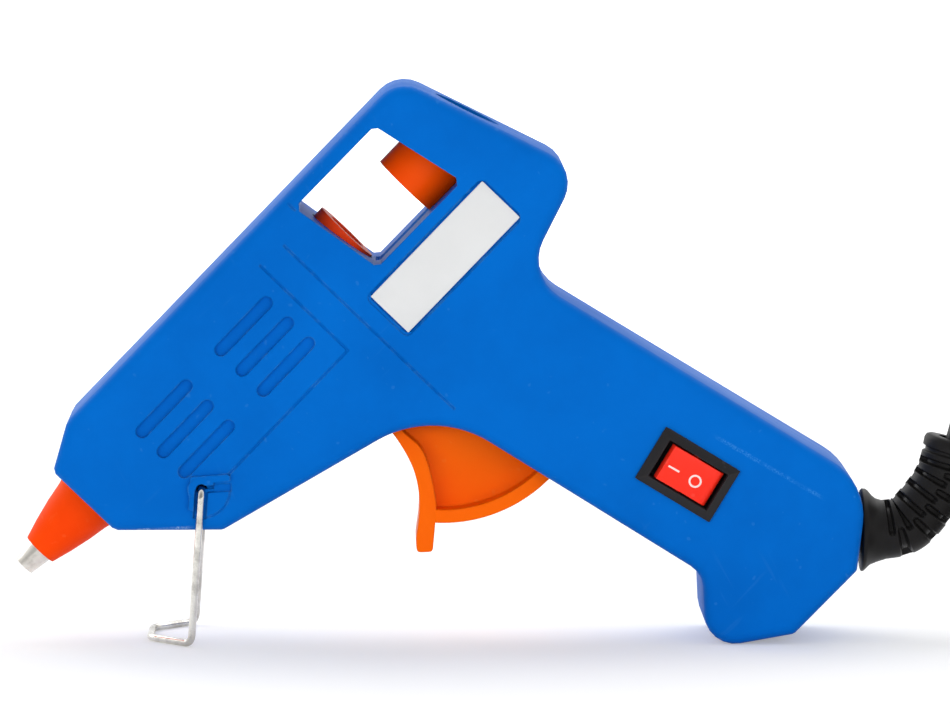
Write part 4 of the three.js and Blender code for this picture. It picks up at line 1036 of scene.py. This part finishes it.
def rocker_marks():
    """The generic I and O, set a hair above the rocker's face."""
    first, last, low, high = BAR_MARK
    bar = []
    for at in range(BAR_STEPS + 1):
        along = first + (last - first) * at / BAR_STEPS
        bar += [on_rocker(along, low, MARK_SUNK), on_rocker(along, high, MARK_SUNK),
                on_rocker(along, high, MARK_RAISED), on_rocker(along, low, MARK_RAISED)]
    along, over, inner, outer = RING_MARK
    ring = []
    for at in range(RING_STEPS):
        turn = 2 * HALF_TURN * at / RING_STEPS
        for radius, raised in ((inner, MARK_SUNK), (outer, MARK_SUNK), (outer, MARK_RAISED),
                               (inner, MARK_RAISED)):
            ring.append(on_rocker(along + radius * math.cos(turn),
                                  over + radius * math.sin(turn), raised))
    base = len(bar)
    rows = [(at * 4, at * 4 + 4) for at in range(BAR_STEPS)]
    rows += [(base + at * 4, base + (at + 1) % RING_STEPS * 4) for at in range(RING_STEPS)]
    faces = [[0, 1, 2, 3], [BAR_STEPS * 4 + at for at in (3, 2, 1, 0)]]
    for here, after in rows:
        faces += band(4, here, after)
    piece = new_piece("rocker_marks", bar + ring, faces)
    outwards(piece)
    smooth(piece)
    put_on(piece, "rocker", "mark_paint", slot="label_film")


def rounded_far_end(button):
    """Rounds the rocker's raised end edge, farther than its other edges."""
    tip = on_rocker(ROCKER_HALF, 0, 0)
    over = (on_switch(0, 1, 0) - on_switch(0, 0, 0)).normalized()
    weights = button.data.attributes.new("bevel_weight_edge", "FLOAT", "EDGE")
    for edge in button.data.edges:
        a, b = (button.data.vertices[at].co for at in edge.vertices)
        middle = (a + b) / 2 - tip
        middle -= over * middle.dot(over)
        if middle.length < END_FOUND * MM and abs((b - a).normalized().dot(over)) > 0.9:
            weights.data[edge.index].value = 1.0
    shaped_by(button, "BEVEL", width=END_ROUND * MM, segments=END_SEGMENTS,
              limit_method="WEIGHT")


def make_switch():
    body = merged_copy("switch_body", "switch_case")
    around = [switch_turned(x, y) for x, y in plate_outline((0, 0), FLANGE_HALF, 0.5)]
    cut_by(body, prism("flange_cut", around, *FLANGE_DEPTHS))
    bevelled(body, 0.1, 2, 50)
    smooth(body)
    put_on(body, "housing", "black_plastic", "switch_body")
    switch_frame_ring()
    button = merged_copy("rocker", "rocker_button")
    rounded_far_end(button)
    bevelled(button, 0.22, 3, 50)
    smooth(button)
    put_on(button, "rocker", "rocker_plastic", "rocker")
    rocker_marks()


make_switch()


# Wire stand, spring, leads

WIRE_RADIUS = 0.65
WIRE_SIDE = 13.75
WIRE_STUB = 9.2
WIRE_LEAN = math.radians(4)
WIRE_FOOT = 7.4
WIRE_FOOT_HALF = 6
WIRE_BEND = 1.6


def make_stand():
    top = standing(*HUB)
    low = WIRE_RADIUS * MM
    heel = top.x - (top.z - low) * math.tan(WIRE_LEAN)
    toe = heel - WIRE_FOOT * MM
    side = WIRE_SIDE * MM
    foot = WIRE_FOOT_HALF * MM
    stub = WIRE_STUB * MM
    corners = [Vector(p) for p in (
        (top.x, -stub, top.z), (top.x, -side, top.z), (heel, -side, low), (toe, -foot, low),
        (toe, foot, low), (heel, side, low), (top.x, side, top.z), (top.x, stub, top.z))]
    line = bent_line(corners, WIRE_BEND * MM, 8)
    piece = strand("stand_wire", line, carried_sides(line, Vector((1, 0, 0))),
                   round_section(WIRE_RADIUS, 20))
    smooth(piece, 50)
    put_on(piece, "stand", "stand_wire", "wire_stand")


make_stand()

SPRING_RADIUS = 2.4
SPRING_WIRE = 0.25
SPRING_AXIS = -19.8
SPRING_FRONT = 68.35
SPRING_REAR = 79.45
SPRING_TURNS = 6
SPRING_STEPS = 28


def make_spring():
    count = SPRING_TURNS * SPRING_STEPS
    line = []
    sides = []
    for at in range(count + 1):
        turn = 2 * HALF_TURN * at / SPRING_STEPS
        along = SPRING_FRONT + (SPRING_REAR - SPRING_FRONT) * at / count
        line.append(standing(along, SPRING_AXIS + SPRING_RADIUS * math.sin(turn),
                             SPRING_RADIUS * math.cos(turn)))
        sides.append(leaning(0, math.sin(turn), math.cos(turn)))
    piece = strand("trigger_spring", line, sides, round_section(SPRING_WIRE, 10))
    smooth(piece, 50)
    put_on(piece, "housing", "spring_steel", "return_spring")
    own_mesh(piece)


make_spring()

LEAD_RADIUS = 0.8
LEAD_BEND = 2.5
LEAD_ROUTES = {
    "lead_heater": [(43.2, 0, -9.8), (47, 6, -12), (52, 9, -13), (72, 9, -13), (72, 9, -60),
                    (76.05, 9, -68.4), (76.05, 4, -68.4)],
    "lead_neutral": [(42.8, 0, -12.6), (47, -6, -14), (52, -9, -13.4), (71.5, -9, -13.4),
                     (71.5, -9, -51), (67, 0, -62), (70.5, 1.5, -81), (76.3, -1.4, -87.6)],
    "lead_switch": [(77.55, 4, -75), (77.55, 8, -75.5), (75.4, 6, -82), (76.3, 1.4, -87.8)],
}


def make_leads():
    for name, route in LEAD_ROUTES.items():
        line = bent_line([standing(a, u, y) for a, y, u in route], LEAD_BEND * MM, 6)
        sides = carried_sides(line, leaning(0.2, 0.3, 0.9))
        piece = strand(name.replace("lead", "inner_wire"), line, sides,
                       round_section(LEAD_RADIUS, 12))
        smooth(piece, 50)
        put_on(piece, "housing", "wire_jacket", name)


make_leads()


# Strain relief, tie and plug

# The relief's outside: places along its line and the radius there
RELIEF_PROFILE = [(0, 5), (1.45, 5), (1.5, 4.2), (4.35, 4.2), (4.4, 7.1), (4.6, 7.35),
                  (5.1, 7.3), (5.5, 6.95), (6.2, 6.2), (7.2, 5.65), (8.6, 5.25), (27.2, 5.05),
                  (27.5, 4.6), (27.9, 4.65), (28.15, 5.2), (29.5, 5.3), (30.1, 5.05),
                  (30.35, 4.6)]
RELIEF_SLOTTED = (8.6, 27.2)
RELIEF_COLLARS = ((1.5, 4.35), (0, 1.45))
RELIEF_LINE_STEPS = 800
RELIEF_BORE = 2.95
RELIEF_SIDES = 96
RELIEF_STEP = 0.11
RIB_FIRST = 9.7
RIB_PITCH = 1.6
RIB_ROWS = 11
RIB_HALF_WIDE = 0.5
RIB_HALF_LONG = 4.5
RIB_DEEP = 1.35
RIB_EDGE = 0.2


def slot_depth(run, turn, radius):
    """How far the relief's skin is sunk by its rows of slots, pairs half a turn apart."""
    row = round((run - RIB_FIRST) / RIB_PITCH)
    if not 0 <= row < RIB_ROWS:
        return 0.0
    off = abs(run - RIB_FIRST - row * RIB_PITCH)
    centre = HALF_TURN / 4 if row % 2 else 3 * HALF_TURN / 4
    away = (turn - centre + HALF_TURN / 2) % HALF_TURN - HALF_TURN / 2
    past = max(0.0, abs(away) * radius - (RIB_HALF_LONG - RIB_HALF_WIDE))
    return RIB_DEEP * (1 - smoothstep(math.hypot(past, off) - RIB_HALF_WIDE, -RIB_EDGE, RIB_EDGE))


def relief_radius(run):
    for (s0, r0), (s1, r1) in zip(RELIEF_PROFILE, RELIEF_PROFILE[1:]):
        if run <= s1:
            return r0 + (r1 - r0) * (run - s0) / (s1 - s0)
    return RELIEF_PROFILE[-1][1]


def make_relief():
    line = catmull(relief_places(), RELIEF_LINE_STEPS)
    total = length_of(line) / MM
    first, last = RELIEF_SLOTTED
    count = round((last - first) / RELIEF_STEP)
    runs = {run for run, _ in RELIEF_PROFILE}
    runs |= {first + (last - first) * at / count for at in range(count)}
    runs |= {s0 + (s1 - s0) * at / 4 for s0, s1 in RELIEF_COLLARS for at in range(1, 4)}
    outer, inner = [], []
    for run in sorted(runs):
        at = min(len(line) - 1.001, run / total * (len(line) - 1))
        here = line[int(at)].lerp(line[int(at) + 1], at - int(at))
        up = heading(line, int(at)).cross(ACROSS)
        ring, bore = [], []
        for side in range(RELIEF_SIDES):
            turn = 2 * HALF_TURN * side / RELIEF_SIDES
            way = ACROSS * math.cos(turn) + up * math.sin(turn)
            radius = relief_radius(run)
            ring.append(here + way * (radius - slot_depth(run, turn, radius)) * MM)
            bore.append(here + way * RELIEF_BORE * MM)
        outer.append(ring)
        inner.append(bore)
    relief = looped("cord_relief", outer + inner[::-6] + [inner[0]])
    smooth(relief, 40)
    put_on(relief, "housing", "relief_rubber", "strain_relief", slot="cord_pvc")


make_relief()


def make_cord_end():
    tie = merged_copy("hank_tie", "hank_band")
    bevelled(tie, 0.5, 3, 50)
    smooth(tie)
    put_on(tie, "housing", "black_plastic", "hank_tie")
    pieces = [tie, turned_copy("plug_body", "plug_grip", "housing", "black_plastic")]
    for side in ("left", "right"):
        pin = merged_copy(f"plug_pin_{side}", f"plug_{side}_pin")
        bevelled(pin, 0.6, 4, 50)
        smooth(pin)
        pieces.append(put_on(pin, "housing", "plug_metal", f"plug_pin_{side}"))
    return pieces


cord_end = make_cord_end()


# Carried-over inner pieces

CARRIED = {
    "chamber_aluminium": ("melt_chamber",),
    "insulating_film": ("heater_film",),
    "ceramic": ("heater_element",),
    "spring_steel": ("sleeve_clip",),
    "black_plastic": ("cord_clamp",),
    "sheet_metal": ("heater_contact_top", "heater_contact_low", "grip_jaw", "drive_link",
                    "switch_terminal_front", "switch_terminal_rear"),
    "pin_steel": ("jaw_pin", "link_pin_rear", "link_pin_front", "trigger_pin",
                  "housing_screw_nose", "housing_screw_front", "housing_screw_rear",
                  "housing_screw_grip", "housing_screw_toe", "clamp_screw_top",
                  "clamp_screw_low"),
}


def finish_carried():
    for look, names in CARRIED.items():
        for name in names:
            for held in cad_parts[name].material_slots:
                held.material = looks[look]


finish_carried()


# Floor, backdrop and lights

FLOOR_HALF = 4.0
FLOOR_GREY = 0.8
GLOW_REACH = (0.25, 0.6)
GLOW_NEAR = 0.3
WORLD_LIGHT = 0.5
FRONT_DARK = 0.3
FRONT_REACH = (-0.95, -0.1)
LIT = (0, 0, 0.05)


def make_floor():
    corners = ((-1, -1), (1, -1), (1, 1), (-1, 1))
    floor = new_piece("floor", [(x * FLOOR_HALF, y * FLOOR_HALF, 0) for x, y in corners],
                      [[0, 1, 2, 3]])
    material, tree, shader = sheet_of("pale_floor")
    shader.inputs["Base Color"].default_value = (FLOOR_GREY, FLOOR_GREY, FLOOR_GREY, 1)
    shader.inputs["Roughness"].default_value = 0.9
    shader.inputs["Specular IOR Level"].default_value = 0.0
    path = node(tree, "ShaderNodeLightPath")
    seen = math_node(tree, "MAXIMUM", path.outputs["Is Camera Ray"], path.outputs["Is Glossy Ray"])
    away = node(tree, "ShaderNodeVectorMath", operation="LENGTH")
    feed(tree, away.inputs[0], object_place(tree))
    glow = ranged(tree, away.outputs["Value"], *GLOW_REACH, GLOW_NEAR, 1.0)
    feed(tree, shader.inputs["Emission Strength"], times(tree, seen, glow))
    shader.inputs["Emission Color"].default_value = (1, 1, 1, 1)
    floor.data.materials.append(material)


def make_world():
    world = bpy.data.worlds.new("studio")
    world.use_nodes = True
    tree = world.node_tree
    background = tree.nodes["Background"]
    background.inputs["Color"].default_value = (1, 1, 1, 1)
    path = node(tree, "ShaderNodeLightPath")
    seen = math_node(tree, "MAXIMUM", path.outputs["Is Camera Ray"], path.outputs["Is Glossy Ray"])
    seen = math_node(tree, "MAXIMUM", seen, path.outputs["Is Transmission Ray"])
    way = node(tree, "ShaderNodeSeparateXYZ")
    feed(tree, way.inputs[0], node(tree, "ShaderNodeTexCoord").outputs["Generated"])
    front = ranged(tree, way.outputs["Y"], *FRONT_REACH, FRONT_DARK, 1.0)
    mirrored = math_node(tree, "MAXIMUM", front, path.outputs["Is Camera Ray"])
    tree.links.new(ranged(tree, seen, 0.0, 1.0, WORLD_LIGHT, mirrored),
                   background.inputs["Strength"])
    bpy.context.scene.world = world


def lamp(name, place, size, power, mirrored=True):
    data = bpy.data.lights.new(name, "AREA")
    data.shape = "RECTANGLE"
    data.size, data.size_y = size
    data.energy = power
    piece = placed(name, data)
    piece.location = place
    piece.rotation_euler = (Vector(LIT) - Vector(place)).to_track_quat("-Z", "Y").to_euler()
    piece.visible_glossy = mirrored


def make_lights():
    lamp("key", (-0.35, -1.1, 0.17), (0.8, 0.28), 4.4, mirrored=False)
    lamp("fill", (0.5, -1.0, 0.13), (0.6, 0.22), 2.2, mirrored=False)
    lamp("top", (0.4, 0.45, 0.8), (1.2, 0.9), 5.0)
    lamp("edge", (-0.65, 0.5, 0.65), (0.9, 0.9), 5.0)


make_floor()
make_world()
make_lights()

bpy.context.scene.view_settings.view_transform = "Standard"
